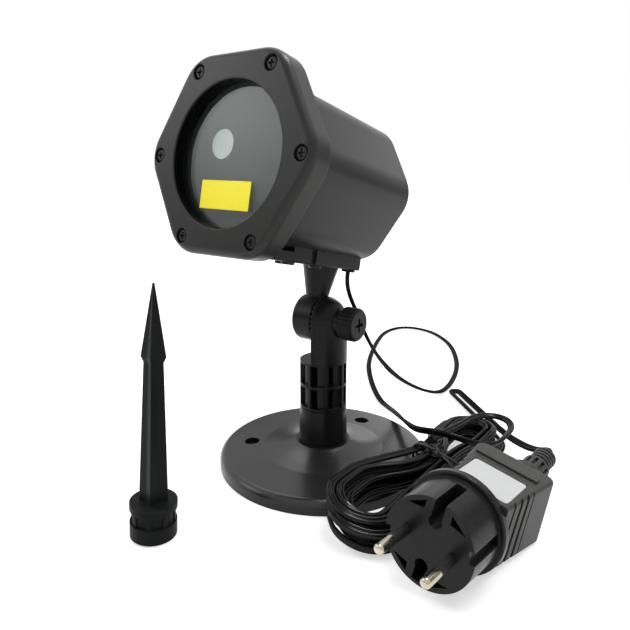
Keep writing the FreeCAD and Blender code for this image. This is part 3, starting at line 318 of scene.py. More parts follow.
def mouldedFinish(name, deep, pale, roughness, spread=0.1, grain=1500.0, cloud=22.0, bump=0.05, edge=0.4,
                  rub=0.25, rubColour=(0.12, 0.12, 0.12), dust=0.05, specular=0.5, metallic=0.0):
    material, tree, shader = startMaterial(name)
    body = placeGroup(tree, grainGroup, Deep=opaque(deep), Pale=opaque(pale), Grain_Scale=grain,
                      Cloud_Scale=cloud, Roughness=roughness, Spread=spread)
    edges = placeGroup(tree, edgeGroup, Radius=edge * mm, Gain=rub * mouldSetup["rubGain"])
    film = placeGroup(tree, dustGroup, Amount=dust)
    colour = mixColour(tree, edges.outputs["Mask"], body.outputs["Color"], opaque(rubColour))
    colour = mixColour(tree, film.outputs["Mask"], colour, opaque(mouldSetup["dustColour"]))
    dulled = times(tree, film.outputs["Mask"], mouldSetup["dustRough"])
    rough = plus(tree, body.outputs["Roughness"], dulled, clamp=True)
    relief = tree.nodes.new("ShaderNodeBump")
    relief.inputs["Strength"].default_value = bump
    relief.inputs["Distance"].default_value = mouldSetup["reliefDepth"]
    tree.links.new(body.outputs["Height"], relief.inputs["Height"])
    tree.links.new(edges.outputs["Normal"], relief.inputs["Normal"])
    tree.links.new(colour, shader.inputs["Base Color"])
    tree.links.new(rough, shader.inputs["Roughness"])
    tree.links.new(relief.outputs["Normal"], shader.inputs["Normal"])
    shader.inputs["Specular IOR Level"].default_value = specular
    shader.inputs["Metallic"].default_value = metallic
    return material


def dress(material, *names):
    for name in names:
        slots = nodes[name].data.materials
        slots.clear()
        slots.append(material)


# Finishes of the moulded and metal pieces, then the pieces that wear them
finishes = {
    "housingSatin": dict(
        deep=(0.017, 0.0175, 0.0163), pale=(0.027, 0.0276, 0.0259), roughness=0.34, spread=0.08,
        edge=0.5, rub=0.22, specular=0.16),
    "postSatin": dict(
        deep=(0.005, 0.0051, 0.005), pale=(0.010, 0.0102, 0.010), roughness=0.30, bump=0.02,
        edge=0.4, specular=0.13, dust=0.02),
    "knobSatin": dict(
        deep=(0.006, 0.006, 0.0062), pale=(0.012, 0.012, 0.0125), roughness=0.36,
        edge=0.3, specular=0.1, dust=0.02),
    "plateSatin": dict(
        deep=(0.011, 0.011, 0.0107), pale=(0.019, 0.019, 0.0185), roughness=0.45,
        edge=0.3, specular=0.1),
    "screwBlack": dict(
        deep=(0.008, 0.008, 0.0085), pale=(0.018, 0.018, 0.019), roughness=0.32, spread=0.16,
        grain=4000.0, edge=0.2, rub=0.5, rubColour=(0.14, 0.14, 0.14), specular=0.2),
    "glandRubber": dict(
        deep=(0.007, 0.007, 0.007), pale=(0.013, 0.013, 0.013), roughness=0.6, bump=0.1,
        edge=0.3, specular=0.1),
    "windowPlate": dict(
        deep=(0.040, 0.050, 0.045), pale=(0.047, 0.058, 0.053), roughness=0.5, spread=0.03,
        grain=7000.0, bump=0.005, edge=0.2, rub=0.0, dust=0.0, specular=0.1),
    "benchAlloy": dict(
        deep=(0.52, 0.52, 0.53), pale=(0.66, 0.66, 0.67), roughness=0.34, metallic=1.0, edge=0.3),
    "moduleBrass": dict(
        deep=(0.60, 0.45, 0.19), pale=(0.74, 0.58, 0.29), roughness=0.28, metallic=1.0, edge=0.3),
    "mirrorCoat": dict(
        deep=(0.72, 0.74, 0.78), pale=(0.82, 0.84, 0.87), roughness=0.05, spread=0.03,
        metallic=1.0, edge=0.1),
    "gratingFilm": dict(
        deep=(0.42, 0.47, 0.52), pale=(0.56, 0.62, 0.66), roughness=0.15, grain=6000.0, edge=0.1),
    "shaftSteel": dict(
        deep=(0.50, 0.50, 0.51), pale=(0.64, 0.64, 0.65), roughness=0.25, metallic=1.0, edge=0.1),
    "boardMask": dict(
        deep=(0.02, 0.10, 0.04), pale=(0.04, 0.17, 0.07), roughness=0.35, grain=900.0, edge=0.2),
    "adapterSatin": dict(
        deep=(0.045, 0.045, 0.044), pale=(0.064, 0.064, 0.062), roughness=0.38, grain=2200.0,
        bump=0.09, edge=0.4, rub=0.25, dust=0.06, specular=0.08),
    "plugSatin": dict(
        deep=(0.009, 0.0092, 0.009), pale=(0.015, 0.0152, 0.0149), roughness=0.28, grain=2000.0,
        bump=0.015, edge=0.4, rub=0.2, dust=0.02, specular=0.16),
    "pinNickel": dict(
        deep=(0.40, 0.35, 0.25), pale=(0.58, 0.53, 0.43), roughness=0.18, spread=0.14, grain=700.0,
        cloud=160.0, metallic=1.0, edge=0.2, rub=0.0, dust=0.0, bump=0.03),
    "sleevePlastic": dict(
        deep=(0.010, 0.010, 0.010), pale=(0.019, 0.019, 0.019), roughness=0.4,
        edge=0.2, specular=0.15),
    "stakePlastic": dict(
        deep=(0.007, 0.0076, 0.0078), pale=(0.014, 0.0150, 0.0153), roughness=0.48, bump=0.08,
        edge=0.4, rub=0.2, rubColour=(0.06, 0.06, 0.06), dust=0.02, specular=0.06),
    "footSatin": dict(
        deep=(0.0085, 0.0088, 0.0084), pale=(0.0140, 0.0144, 0.0137), roughness=0.24, spread=0.03,
        bump=0.004, edge=0.5, rub=0.2, dust=0.015, specular=0.5),
    "tieJacket": dict(
        deep=(0.008, 0.008, 0.008), pale=(0.018, 0.018, 0.018), roughness=0.4, bump=0.08,
        edge=0.1, specular=0.15),
}
wearers = {
    "housingSatin": ["housing_shell"],
    "postSatin": ["stand_post", "neck_bracket"],
    "knobSatin": ["knob_grip"],
    "plateSatin": ["mount_plate"],
    "screwBlack": ["clamp_screw", "clamp_nut", "knob_washer", "bezel_screws", "plate_screws"],
    "glandRubber": ["cable_gland", "window_gasket"],
    "windowPlate": ["aperture_plate"],
    "benchAlloy": ["optics_bench", "motor_bracket"],
    "moduleBrass": ["laser_module_green", "laser_module_red"],
    "mirrorCoat": ["dichroic_filter", "fold_mirror"],
    "gratingFilm": ["grating_wheel"],
    "shaftSteel": ["wheel_shaft", "grating_motor"],
    "boardMask": ["driver_board", "adapter_board"],
    "adapterSatin": ["adapter_case", "adapter_cover", "adapter_boot"],
    "plugSatin": ["plug_body"],
    "pinNickel": ["plug_pins"],
    "sleevePlastic": ["pin_sleeves"],
    "stakePlastic": ["ground_stake"],
}
for name, pieces in wearers.items():
    dress(mouldedFinish(name, **finishes[name]), *pieces)

# Window: the pane and the frosted disc behind it
windowSetup = {
    "smearScale": 60.0,
    "smearStart": 0.35,
    "smearRough": 0.12,
    "glassColour": (0.93, 0.96, 0.95),
    "index": 1.45,
    "shadowColour": (0.90, 0.94, 0.92),
}
lensSetup = {
    "frostScale": 900.0,
    "deep": (0.42, 0.44, 0.43),
    "pale": (0.60, 0.62, 0.60),
    "roughness": (0.3, 0.5),
}
# Head: its own axes in the frame, in mm, and the painted shade on the wall of the window opening in the bezel
headSetup = {
    "pitch": 12.04,
    "hinge": (0.0, 0.0, 78.04),
    "offset": (5.94, 76.59, -65.81),
    "windowRadius": 30.0 * mm,
    # painted shade on the wall of the window opening: the step's gain, its near-black colour and the gloss it
    # takes away
    "wallGain": 5000.0,
    "openingShadeColour": (0.004, 0.004, 0.004),
    "specular": 0.22,
    "wallDull": 0.2,
}
# Foot: heights of the side wall's upper edge and of the groove round the socket
footSetup = {
    "wallTop": 5.5 * mm,
    "wallGain": 600.0,
    "wallDull": 0.25,
    "socketRoot": 12.1 * mm,
    "socketGain": 4000.0,
    "socketDull": 0.4,
    "socketColour": (0.012, 0.0122, 0.012),
}


def windowFinish(setup):
    # clear pane: glass to the eye, open to the lamps behind it
    material, tree, shader = startMaterial("windowClear")
    spot = tree.nodes.new("ShaderNodeTexCoord").outputs["Object"]
    smear = noiseNode(tree, spot, setup["smearScale"], 3.0)
    rough = times(tree, minus(tree, smear, setup["smearStart"], clamp=True), setup["smearRough"])
    tree.links.new(rough, shader.inputs["Roughness"])
    shader.inputs["Base Color"].default_value = opaque(setup["glassColour"])
    shader.inputs["Transmission Weight"].default_value = 1.0
    shader.inputs["IOR"].default_value = setup["index"]
    clear = tree.nodes.new("ShaderNodeBsdfTransparent")
    clear.inputs["Color"].default_value = opaque(setup["shadowColour"])
    path = tree.nodes.new("ShaderNodeLightPath")
    mix = tree.nodes.new("ShaderNodeMixShader")
    tree.links.new(path.outputs["Is Shadow Ray"], mix.inputs[0])
    tree.links.new(shader.outputs[0], mix.inputs[1])
    tree.links.new(clear.outputs[0], mix.inputs[2])
    tree.links.new(mix.outputs[0], tree.nodes["Material Output"].inputs["Surface"])
    return material


def lensFinish(setup):
    # frosted disc: one fine noise for its colour and its roughness
    material, tree, shader = startMaterial("lensFrost")
    spot = tree.nodes.new("ShaderNodeTexCoord").outputs["Object"]
    frost = noiseNode(tree, spot, setup["frostScale"], 4.0)
    colour = mixColour(tree, frost, opaque(setup["deep"]), opaque(setup["pale"]))
    tree.links.new(colour, shader.inputs["Base Color"])
    tree.links.new(between(tree, frost, *setup["roughness"]), shader.inputs["Roughness"])
    return material


def recolour(tree, shader, mask, colour):
    # lays a colour over the finish where the mask is 1
    under = shader.inputs["Base Color"].links[0].from_socket
    tree.links.new(mixColour(tree, mask, under, opaque(colour)), shader.inputs["Base Color"])


def footFinish(setup):
    # olive-grey disc with a duller side wall, near black from the groove at the root of its socket upwards:
    # both are steps of the height
    base = finishes["footSatin"]
    material = mouldedFinish("footSatin", **base)
    tree = material.node_tree
    shader = tree.nodes["Principled BSDF"]
    split = tree.nodes.new("ShaderNodeSeparateXYZ")
    tree.links.new(tree.nodes.new("ShaderNodeTexCoord").outputs["Object"], split.inputs[0])
    height = split.outputs["Z"]
    socket = heldLine(tree, height, setup["socketRoot"], setup["socketGain"])
    wall = heldLine(tree, height, setup["wallTop"], -setup["wallGain"])
    recolour(tree, shader, socket, setup["socketColour"])
    dull = plus(tree, times(tree, socket, setup["socketDull"]), times(tree, wall, setup["wallDull"]))
    tree.links.new(minus(tree, base["specular"], dull), shader.inputs["Specular IOR Level"])
    return material


def bezelFinish(setup):
    # as the housing, but with painted shade on the wall of the window opening, near black and less glossy: a
    # step of the distance from the head's axis
    material = mouldedFinish("bezelSatin", **finishes["housingSatin"])
    tree = material.node_tree
    shader = tree.nodes["Principled BSDF"]
    place = tree.nodes.new("ShaderNodeMapping")
    shift = np.array(setup["offset"]) - turnX(setup["pitch"]) @ np.array(setup["hinge"])
    place.inputs["Rotation"].default_value = (np.radians(setup["pitch"]), 0.0, 0.0)
    place.inputs["Location"].default_value = shift * mm
    tree.links.new(tree.nodes.new("ShaderNodeTexCoord").outputs["Object"], place.inputs["Vector"])
    split = tree.nodes.new("ShaderNodeSeparateXYZ")
    tree.links.new(place.outputs[0], split.inputs[0])
    across = squared(tree, split.outputs["X"])
    upright = squared(tree, split.outputs["Z"])
    radius = mathNode(tree, "SQRT", plus(tree, across, upright))
    # painted shade: the wall of the window opening, where shade falls, is coloured near black and made less
    # glossy
    wall = heldLine(tree, radius, setup["windowRadius"], -setup["wallGain"])
    recolour(tree, shader, wall, setup["openingShadeColour"])
    specular = minus(tree, setup["specular"], times(tree, wall, setup["wallDull"]))
    tree.links.new(specular, shader.inputs["Specular IOR Level"])
    return material


dress(bezelFinish(headSetup), "front_bezel")
dress(footFinish(footSetup), "base_foot")
dress(windowFinish(windowSetup), "window_glass")
dress(lensFinish(lensSetup), "aperture_lens")
print("finishes:", len(bpy.data.materials))

# Cord: gland, floor loop, hank and lead on one spline, then a twin-core jacket carried along it;
# places in mm, lengths along the cord and heights above the floor in metres
cordSetup = {
    "coreRadius": 1.02 * mm,
    "coreOffset": 0.86 * mm,
    "ringPoints": 20,
    "resolution": 10,
    "length": 3.78,
    "twistTurns": 7.0,
    "twistSwing": 55.0,
    "swayShare": 0.5,
    "swayPace": 2.7,
    "swayPhase": 1.0,
    "calmLength": 0.56,
    "calmFade": 0.06,
    "calmShare": 0.15,
    "floorGap": 0.02 * mm,
    "hangWide": (0.58, -0.78, 0.0),
    "hangFoot": 0.03,
    "hangFade": 0.02,
    "hangPart": 4,
    "deep": (0.004, 0.004, 0.0044),
    "pale": (0.010, 0.010, 0.0104),
    "dullScale": (60.0, 3.0, 1.0),
    "dullShare": 0.7,
    "speckScale": 2200.0,
    "coatRoughness": (0.04, 0.16),
    "gloss": (0.12, 0.36),
    "glossSpan": (0.60, 3.50),
    "glossGain": 10.0,
    "relief": 0.02,
    "reliefDepth": 0.3 * mm,
    "glandMouth": (6.36, 12.135, 101.331),
    "glandDrop": (6.36, 11.092, 96.441),
    "lampRoute": [
        (7.2, 13.0, 88.5), (7.0, 20.5, 78.5), (5.6, 33.0, 61.5), (2.6, 53.0, 43.0), (1.6, 78.0, 23.5),
        (5.4, 102.5, 8.6), (12.5, 119.5, 1.7), (12.0, 139.0, 1.5), (4.0, 170.0, 1.5), (-9.0, 200.0, 1.5),
        (-31.0, 236.0, 1.5), (-62.0, 262.5, 1.5), (-90.0, 262.0, 1.5), (-97.0, 236.0, 1.5), (-84.0, 197.0, 1.5),
        (-64.0, 152.0, 1.5), (-48.0, 126.5, 1.5), (-29.5, 102.0, 1.5), (-14.3, 85.3, 1.6), (-1.6, 72.4, 4.6),
        (11.0, 58.3, 9.6), (22.9, 45.2, 13.2), (32.7, 35.0, 15.8), (41.0, 26.4, 18.8), (48.5, 20.4, 22.2),
        (56.5, 17.6, 24.8), (65.5, 17.8, 25.2), (76.0, 21.5, 22.4), (83.0, 30.0, 20.4), (83.8, 44.0, 20.2),
        (83.0, 56.0, 20.2), (77.0, 64.5, 20.2), (67.5, 64.5, 20.2), (61.5, 56.0, 20.4), (60.5, 42.0, 20.8),
        (57.5, 28.0, 21.0), (54.6, 16.5, 20.3),
    ],
    "leadRoute": [
        (76.0, 70.0, 1.8), (67.5, 78.4, 1.75), (20.02, 125.41, 1.5), (18.23, 127.19, 1.5), (18.21, 129.7, 1.5),
        (19.98, 131.49, 1.5), (22.5, 131.51, 1.5), (24.28, 129.72, 1.5), (69.5, 83.5, 3.0), (82.5, 67.5, 7.0),
        (98.0, 46.0, 15.5),
    ],
    "bootDrop": (109.063, 33.183, 25.134),
    "bootMouth": (108.149, 23.941, 24.433),
}
hankSetup = {
    "runs": 20,
    "layerRuns": 5,
    "lobeLayer": 3.8,
    "waistLayer": 3.2,
    "lobeStep": 4.2,
    "waistStep": 3.3,
    "waist": (63.0, 6.5, 9.2),
    "waistZ": (11.0, 4.8),
    "front": (53.5, -42.5, 17.5),
    "frontZ": (8.8, 2.0),
    "rear": (58.5, 58.0, 17.5),
    "rearZ": 1.8,
    "ease": 0.27,
    "lobeEase": 0.35,
    "turnPoints": 6,
    "turnStep": 45.0,
}


def hankPoints(setup):
    # runs between a rear and a front lobe, drawn in at the waist. Each half run leaves and arrives along Y,
    # so its two points keep the end's x and z; each half turn has points on the circle's tangents, at
    # (k - 1/2) times the step
    s = np.arange(setup["runs"])
    side = np.where(s % 2 == 0, 1.0, -1.0)
    phase = s % (2 * setup["layerRuns"])
    offset = np.where(phase <= setup["layerRuns"], phase, 2 * setup["layerRuns"] - phase) / 2
    after = s // setup["layerRuns"]
    before = np.where((s > 0) & (s % setup["layerRuns"] == 0), after - 1, after)
    rearLayer = np.where(side > 0, before, after)
    frontLayer = np.where(side > 0, after, before)
    waistX, waistY, waistHalf = setup["waist"]
    leftZ, rightZ = setup["waistZ"]
    reach = side * (waistHalf - offset * setup["waistStep"])
    waistHeight = (leftZ + rightZ) / 2 + (rightZ - leftZ) / 2 * reach / waistHalf
    waistHeight = waistHeight + (before + after) / 2 * setup["waistLayer"]
    waist = np.stack([waistX + reach, np.full_like(reach, waistY), waistHeight], -1)
    frontX, frontY, frontHalf = setup["front"]
    lowFront = np.where(side > 0, setup["frontZ"][1], setup["frontZ"][0])
    front = np.stack([
        frontX + side * (frontHalf - offset * setup["lobeStep"]),
        np.full_like(reach, frontY),
        lowFront + frontLayer * setup["lobeLayer"],
    ], -1)
    rearX, rearY, rearHalf = setup["rear"]
    rear = np.stack([
        rearX + side * (rearHalf - offset * setup["lobeStep"]),
        np.full_like(reach, rearY),
        setup["rearZ"] + rearLayer * setup["lobeLayer"],
    ], -1)
    start = np.where(side[:, None] > 0, rear, front)
    end = np.where(side[:, None] > 0, front, rear)
    along = np.zeros_like(start)
    along[:, 1] = -side
    near, far = setup["ease"], setup["lobeEase"]
    inward = np.abs(start[:, 1:2] - waist[:, 1:2])
    outward = np.abs(end[:, 1:2] - waist[:, 1:2])
    runs = np.stack([
        start + far * along * inward,
        waist - near * along * inward,
        waist + near * along * outward,
        end - far * along * outward,
    ], 1)
    centre = (end[:-1] + start[1:]) / 2
    arm = (end[:-1] - start[1:]) / 2
    radius = np.linalg.norm(arm, axis=1)
    halfStep = setup["turnStep"] / 2
    angle = np.radians(setup["turnStep"] * np.arange(setup["turnPoints"]) - halfStep)
    rim = 1 / np.cos(np.radians(halfStep))
    bulge = np.zeros_like(arm)
    bulge[:, 1] = -side[:-1] * radius
    turns = ringsAround(centre, arm, bulge, rim * np.cos(angle), rim * np.sin(angle))
    rows = []
    for k in range(setup["runs"] - 1):
        rows += [runs[k], turns[k]]
    rows.append(runs[-1][:1])
    return np.concatenate(rows + [waist[-1:]])


def splinePath(name, points, resolution, apart=1e-6):
    # points read back from a NURBS curve along the route; those closer than apart are one point
    curve = bpy.data.curves.new(name, "CURVE")
    curve.dimensions = "3D"
    spline = curve.splines.new("NURBS")
    spline.points.add(len(points) - 1)
    spline.points.foreach_set("co", np.c_[points, np.ones(len(points))].ravel())
    spline.order_u = 3
    spline.use_endpoint_u = True
    spline.resolution_u = resolution
    holder = bpy.data.objects.new(name, curve)
    bpy.context.scene.collection.objects.link(holder)
    bpy.context.view_layer.update()
    line = bpy.data.meshes.new_from_object(holder)
    path = np.empty(len(line.vertices) * 3)
    line.vertices.foreach_get("co", path)
    path = path.reshape(-1, 3)
    bpy.data.objects.remove(holder)
    bpy.data.curves.remove(curve)
    bpy.data.meshes.remove(line)
    keep = np.r_[True, np.linalg.norm(np.diff(path, axis=0), axis=1) > apart]
    return path[keep]


def twinTube(name, path, hangShare, setup, tiny=1e-9):
    # two touching cores: radius at angle a is offset |cos a| + sqrt(core^2 - offset^2 sin^2 a), turned slowly
    # on its line by swing (sin w + share sin(pace w + phase)); a ring that would sink into the floor is lifted
    # on to it. tiny keeps an upright stretch from a division by zero
    tangent = unit(np.gradient(path, axis=0))
    step = np.r_[0, np.cumsum(np.linalg.norm(np.diff(path, axis=0), axis=1))]
    flat = unit(np.cross(tangent, (0, 0, 1.0)) + tiny)
    edge = np.array(setup["hangWide"])
    hang = unit(edge - tangent * (tangent @ edge)[:, None])
    side = unit(hang * hangShare[:, None] + flat * (1 - hangShare[:, None]))
    lift = np.cross(side, tangent)
    wave = 2 * np.pi * setup["twistTurns"] * step / step[-1]
    sway = setup["swayShare"] * np.sin(setup["swayPace"] * wave + setup["swayPhase"])
    calm = np.clip((step - setup["calmLength"]) / setup["calmFade"], setup["calmShare"], 1)
    turn = np.radians(setup["twistSwing"]) * (np.sin(wave) + sway) * calm
    wide = side * np.cos(turn)[:, None] + lift * np.sin(turn)[:, None]
    thin = lift * np.cos(turn)[:, None] - side * np.sin(turn)[:, None]
    count = setup["ringPoints"]
    angle = 2 * np.pi * np.arange(count) / count
    core, offset = setup["coreRadius"], setup["coreOffset"]
    radius = offset * np.abs(np.cos(angle)) + np.sqrt(core ** 2 - (offset * np.sin(angle)) ** 2)
    rings = ringsAround(path, wide, thin, radius * np.cos(angle), radius * np.sin(angle))
    rings[..., 2] += np.maximum(setup["floorGap"] - rings[..., 2].min(1, keepdims=True), 0)
    points = rings.reshape(-1, 3)
    uv = np.stack([np.repeat(step, count), np.tile(angle / (2 * np.pi), len(path))], -1)
    faces = gridFaces(len(path), count, True)
    faces.append(list(range(count))[::-1])
    faces.append(list(range((len(path) - 1) * count, len(path) * count)))
    return meshPiece(name, points, faces, uv), step[-1]


def cordFinish(setup):
    # jacket with slow dulling along its length, glossier in the hank: a ramp up and a ramp down of the length
    # along the cord
    material, tree, shader = startMaterial("cordJacket")
    layer = tree.nodes.new("ShaderNodeUVMap")
    layer.uv_map = "surfaceMap"
    stretch = tree.nodes.new("ShaderNodeMapping")
    stretch.inputs["Scale"].default_value = setup["dullScale"]
    tree.links.new(layer.outputs[0], stretch.inputs["Vector"])
    dull = noiseNode(tree, stretch.outputs[0], 1.0, 4.0)
    spot = tree.nodes.new("ShaderNodeTexCoord").outputs["Object"]
    speck = noiseNode(tree, spot, setup["speckScale"], 2.0)
    dullPart = times(tree, dull, setup["dullShare"])
    speckPart = times(tree, speck, 1.0 - setup["dullShare"])
    blend = plus(tree, dullPart, speckPart)
    colour = mixColour(tree, blend, opaque(setup["deep"]), opaque(setup["pale"]))
    tree.links.new(colour, shader.inputs["Base Color"])
    tree.links.new(between(tree, blend, *setup["coatRoughness"]), shader.inputs["Coat Roughness"])
    split = tree.nodes.new("ShaderNodeSeparateXYZ")
    tree.links.new(layer.outputs[0], split.inputs[0])
    first, last = setup["glossSpan"]
    begun = heldLine(tree, split.outputs["X"], first, setup["glossGain"])
    left = heldLine(tree, split.outputs["X"], last, -setup["glossGain"])
    gloss = between(tree, times(tree, begun, left), *setup["gloss"])
    tree.links.new(gloss, shader.inputs["Coat Weight"])
    shader.inputs["Specular IOR Level"].default_value = 0.0
    relief = tree.nodes.new("ShaderNodeBump")
    relief.inputs["Strength"].default_value = setup["relief"]
    relief.inputs["Distance"].default_value = setup["reliefDepth"]
    tree.links.new(speck, relief.inputs["Height"])
    tree.links.new(relief.outputs["Normal"], shader.inputs["Normal"])
    return material


cordPoints = mm * np.array([
    cordSetup["glandMouth"],
    cordSetup["glandDrop"],
    *cordSetup["lampRoute"],
    *hankPoints(hankSetup)[::-1].tolist(),
    *cordSetup["leadRoute"],
    cordSetup["bootDrop"],
    cordSetup["bootMouth"],
])
cordPath = splinePath("cordRoute", cordPoints, cordSetup["resolution"])
# the stretch below the gland hangs edge on; further along, and near the floor, the jacket lies flat
raised = np.clip((cordPath[:, 2] - cordSetup["hangFoot"]) / cordSetup["hangFade"], 0, 1)
hanging = raised * (np.arange(len(cordPath)) < len(cordPath) // cordSetup["hangPart"])
cordPiece, cordLength = twinTube("power_cord", cordPath, hanging, cordSetup)
cordPiece.data.materials.append(cordFinish(cordSetup))
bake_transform(cordPiece)
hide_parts("lamp_cord", "cord_hank", "adapter_lead")
print("cord:", round(cordLength, 3), "m,", len(cordPath), "rings")

# Twist tie, in mm: two wire-cored bands crossed over the waist of the hank, their ends twisted together
tieSetup = {
    "centre": (63.0, 6.5, 12.7),
    "half": (11.5, 7.3),
    "shear": -0.337,
    "lean": 3.4,
    "leanMix": (0.6, 0.4),
    "outerLift": 0.55,
    "band": (0.95, 0.5),
    "loopPoints": 96,
    "ringPoints": 12,
    "tailBand": (0.6, 0.45),
    "tailPoints": 48,
    "tailRise": 0.9,
    "tailBow": 1.5,
    "tailLength": 13.0,
    "tailTurns": 2.5,
    "tailRadius": 0.75,
    "tailHeading": (0.30, -0.90, 0.30),
}


def bandTube(path, closed, wideRef, half, ringPoints):
    # flat oval carried along a path: half width along the reference direction, half thickness across it
    if closed:
        tangent = unit(np.roll(path, -1, 0) - np.roll(path, 1, 0))
    else:
        tangent = unit(np.gradient(path, axis=0))
    wide = unit(wideRef - tangent * np.sum(wideRef * tangent, -1, keepdims=True))
    thin = np.cross(tangent, wide)
    angle = 2 * np.pi * np.arange(ringPoints) / ringPoints
    rings = ringsAround(path, wide, thin, half[0] * np.cos(angle), half[1] * np.sin(angle))
    points = rings.reshape(-1, 3)
    rows = len(path) + 1 if closed else len(path)
    faces = (np.array(gridFaces(rows, ringPoints, True)) % len(points)).tolist()
    if not closed:
        faces.append(list(range(ringPoints))[::-1])
        faces.append(list(range(len(points) - ringPoints, len(points))))
    return points, faces


def tiePiece(setup):
    # loop: fourth-power oval round the strands, leaning to +Y or -Y over the top, so that the two loops cross
    pieces = []
    centre = np.array(setup["centre"])
    angle = 2 * np.pi * np.arange(setup["loopPoints"]) / setup["loopPoints"]
    halfX, halfZ = setup["half"]
    plain, mixed = setup["leanMix"]
    for lean, outer in ((1.0, setup["outerLift"]), (-1.0, 0.0)):
        x = halfX * np.sign(np.cos(angle)) * np.sqrt(np.abs(np.cos(angle)))
        z = halfZ * np.sign(np.sin(angle)) * np.sqrt(np.abs(np.sin(angle)))
        y = lean * setup["lean"] * np.cos(angle) * (plain + mixed * np.sin(angle))
        path = centre + np.stack([x, y, z + setup["shear"] * x + outer * np.sin(angle)], -1)
        pieces.append(bandTube(path, True, np.array((0, 1.0, 0)), setup["band"], setup["ringPoints"]))
    heading = unit(np.array(setup["tailHeading"]))
    across = unit(np.cross(heading, (0, 0, 1.0)))
    lift = np.cross(across, heading)
    share = np.linspace(0, 1, setup["tailPoints"])[:, None]
    root = centre + np.array((0.0, 0.0, halfZ + setup["tailRise"]))
    bow = heading * setup["tailLength"] * share + lift * setup["tailBow"] * np.sin(np.pi * share)
    for phase in (0.0, np.pi):
        turn = 2 * np.pi * setup["tailTurns"] * share + phase
        spoke = np.cos(turn) * across + np.sin(turn) * lift
        path = root + bow + setup["tailRadius"] * spoke
        pieces.append(bandTube(path, False, spoke, setup["tailBand"], setup["ringPoints"]))
    points = []
    faces = []
    for p, f in pieces:
        base = sum(len(q) for q in points)
        points.append(p)
        faces += [[i + base for i in face] for face in f]
    return meshPiece("twist_tie_band", np.concatenate(points) * mm, faces)


tie = tiePiece(tieSetup)
tie.data.materials.append(mouldedFinish("tieJacket", **finishes["tieJacket"]))
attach(tie, "stand")
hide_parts("twist_tie")
print("tie in place")

# Blank stickers, in mm: one on the window, one in the recess of the adapter
adapterSetup = {"place": (92.0, -63.3, 22.33), "yaw": -4.8, "pitch": 11.42, "roll": -4.62}


def onHead(points):
    moved = points - np.array(headSetup["offset"])
    return moved @ turnX(-headSetup["pitch"]).T + np.array(headSetup["hinge"])


def onAdapter(points):
    turn = turnZ(adapterSetup["yaw"]) @ turnY(adapterSetup["pitch"]) @ turnX(adapterSetup["roll"])
    return points @ turn.T + np.array(adapterSetup["place"])


def stickerSheet(size, corner, thick, rows=24):
    # sheet with round corners: rows of a grid whose half width is cut back by the corner circle near both ends
    w, h = size[0] / 2, size[1] / 2
    v = h * np.sin(np.linspace(-np.pi / 2, np.pi / 2, rows))
    into = np.clip(np.abs(v) - (h - corner), 0, corner)
    half = w - corner + np.sqrt(np.maximum(corner ** 2 - into ** 2, 0))
    u = np.linspace(-1, 1, rows)
    face = np.stack([half[:, None] * u[None, :], np.repeat(v[:, None], rows, 1)], -1).reshape(-1, 2)
    points = np.concatenate([np.c_[face, np.full(len(face), thick)], np.c_[face, np.zeros(len(face))]])
    top = gridFaces(rows, rows, False)
    under = [[i + rows * rows for i in quad[::-1]] for quad in top]
    index = np.arange(rows * rows).reshape(rows, rows)
    border = np.r_[index[0, :-1], index[:-1, -1], index[-1, :0:-1], index[:0:-1, 0]]
    ahead = np.roll(border, -1)
    lower = rows * rows
    wall = np.stack([border, border + lower, ahead + lower, ahead], -1).tolist()
    uv = np.concatenate([face, face]) / np.array(size) + 0.5
    return points, top + under + wall, uv


printSetup = {"mottleScale": 420.0, "mottleRough": 0.2, "marginPower": 3.0}


def stickerFinish(name, deep, pale, border, roughness, edgeColour, glow):
    # flat print with a soft margin line, slight mottling and a satin lamination; glow is painted light that
    # brightens the print
    material, tree, shader = startMaterial(name)
    spot = tree.nodes.new("ShaderNodeTexCoord").outputs["Object"]
    mottle = noiseNode(tree, spot, printSetup["mottleScale"], 4.0)
    colour = mixColour(tree, mottle, opaque(deep), opaque(pale))
    layer = tree.nodes.new("ShaderNodeUVMap")
    layer.uv_map = "surfaceMap"
    split = tree.nodes.new("ShaderNodeSeparateXYZ")
    tree.links.new(layer.outputs[0], split.inputs[0])
    far = []
    for axis, share in (("X", border[0]), ("Y", border[1])):
        distance = mathNode(tree, "ABSOLUTE", minus(tree, split.outputs[axis], 0.5))
        far.append(times(tree, minus(tree, distance, 0.5 - share, clamp=True), 1.0 / share))
    nearest = mathNode(tree, "MAXIMUM", far[0], far[1])
    margin = mathNode(tree, "POWER", nearest, printSetup["marginPower"], clamp=True)
    colour = mixColour(tree, margin, colour, opaque(edgeColour))
    tree.links.new(colour, shader.inputs["Base Color"])
    # painted light: the print glows in its own colour, as strongly as glow says
    tree.links.new(colour, shader.inputs["Emission Color"])
    shader.inputs["Emission Strength"].default_value = glow
    rough = between(tree, mottle, roughness, roughness + printSetup["mottleRough"])
    tree.links.new(rough, shader.inputs["Roughness"])
    return material


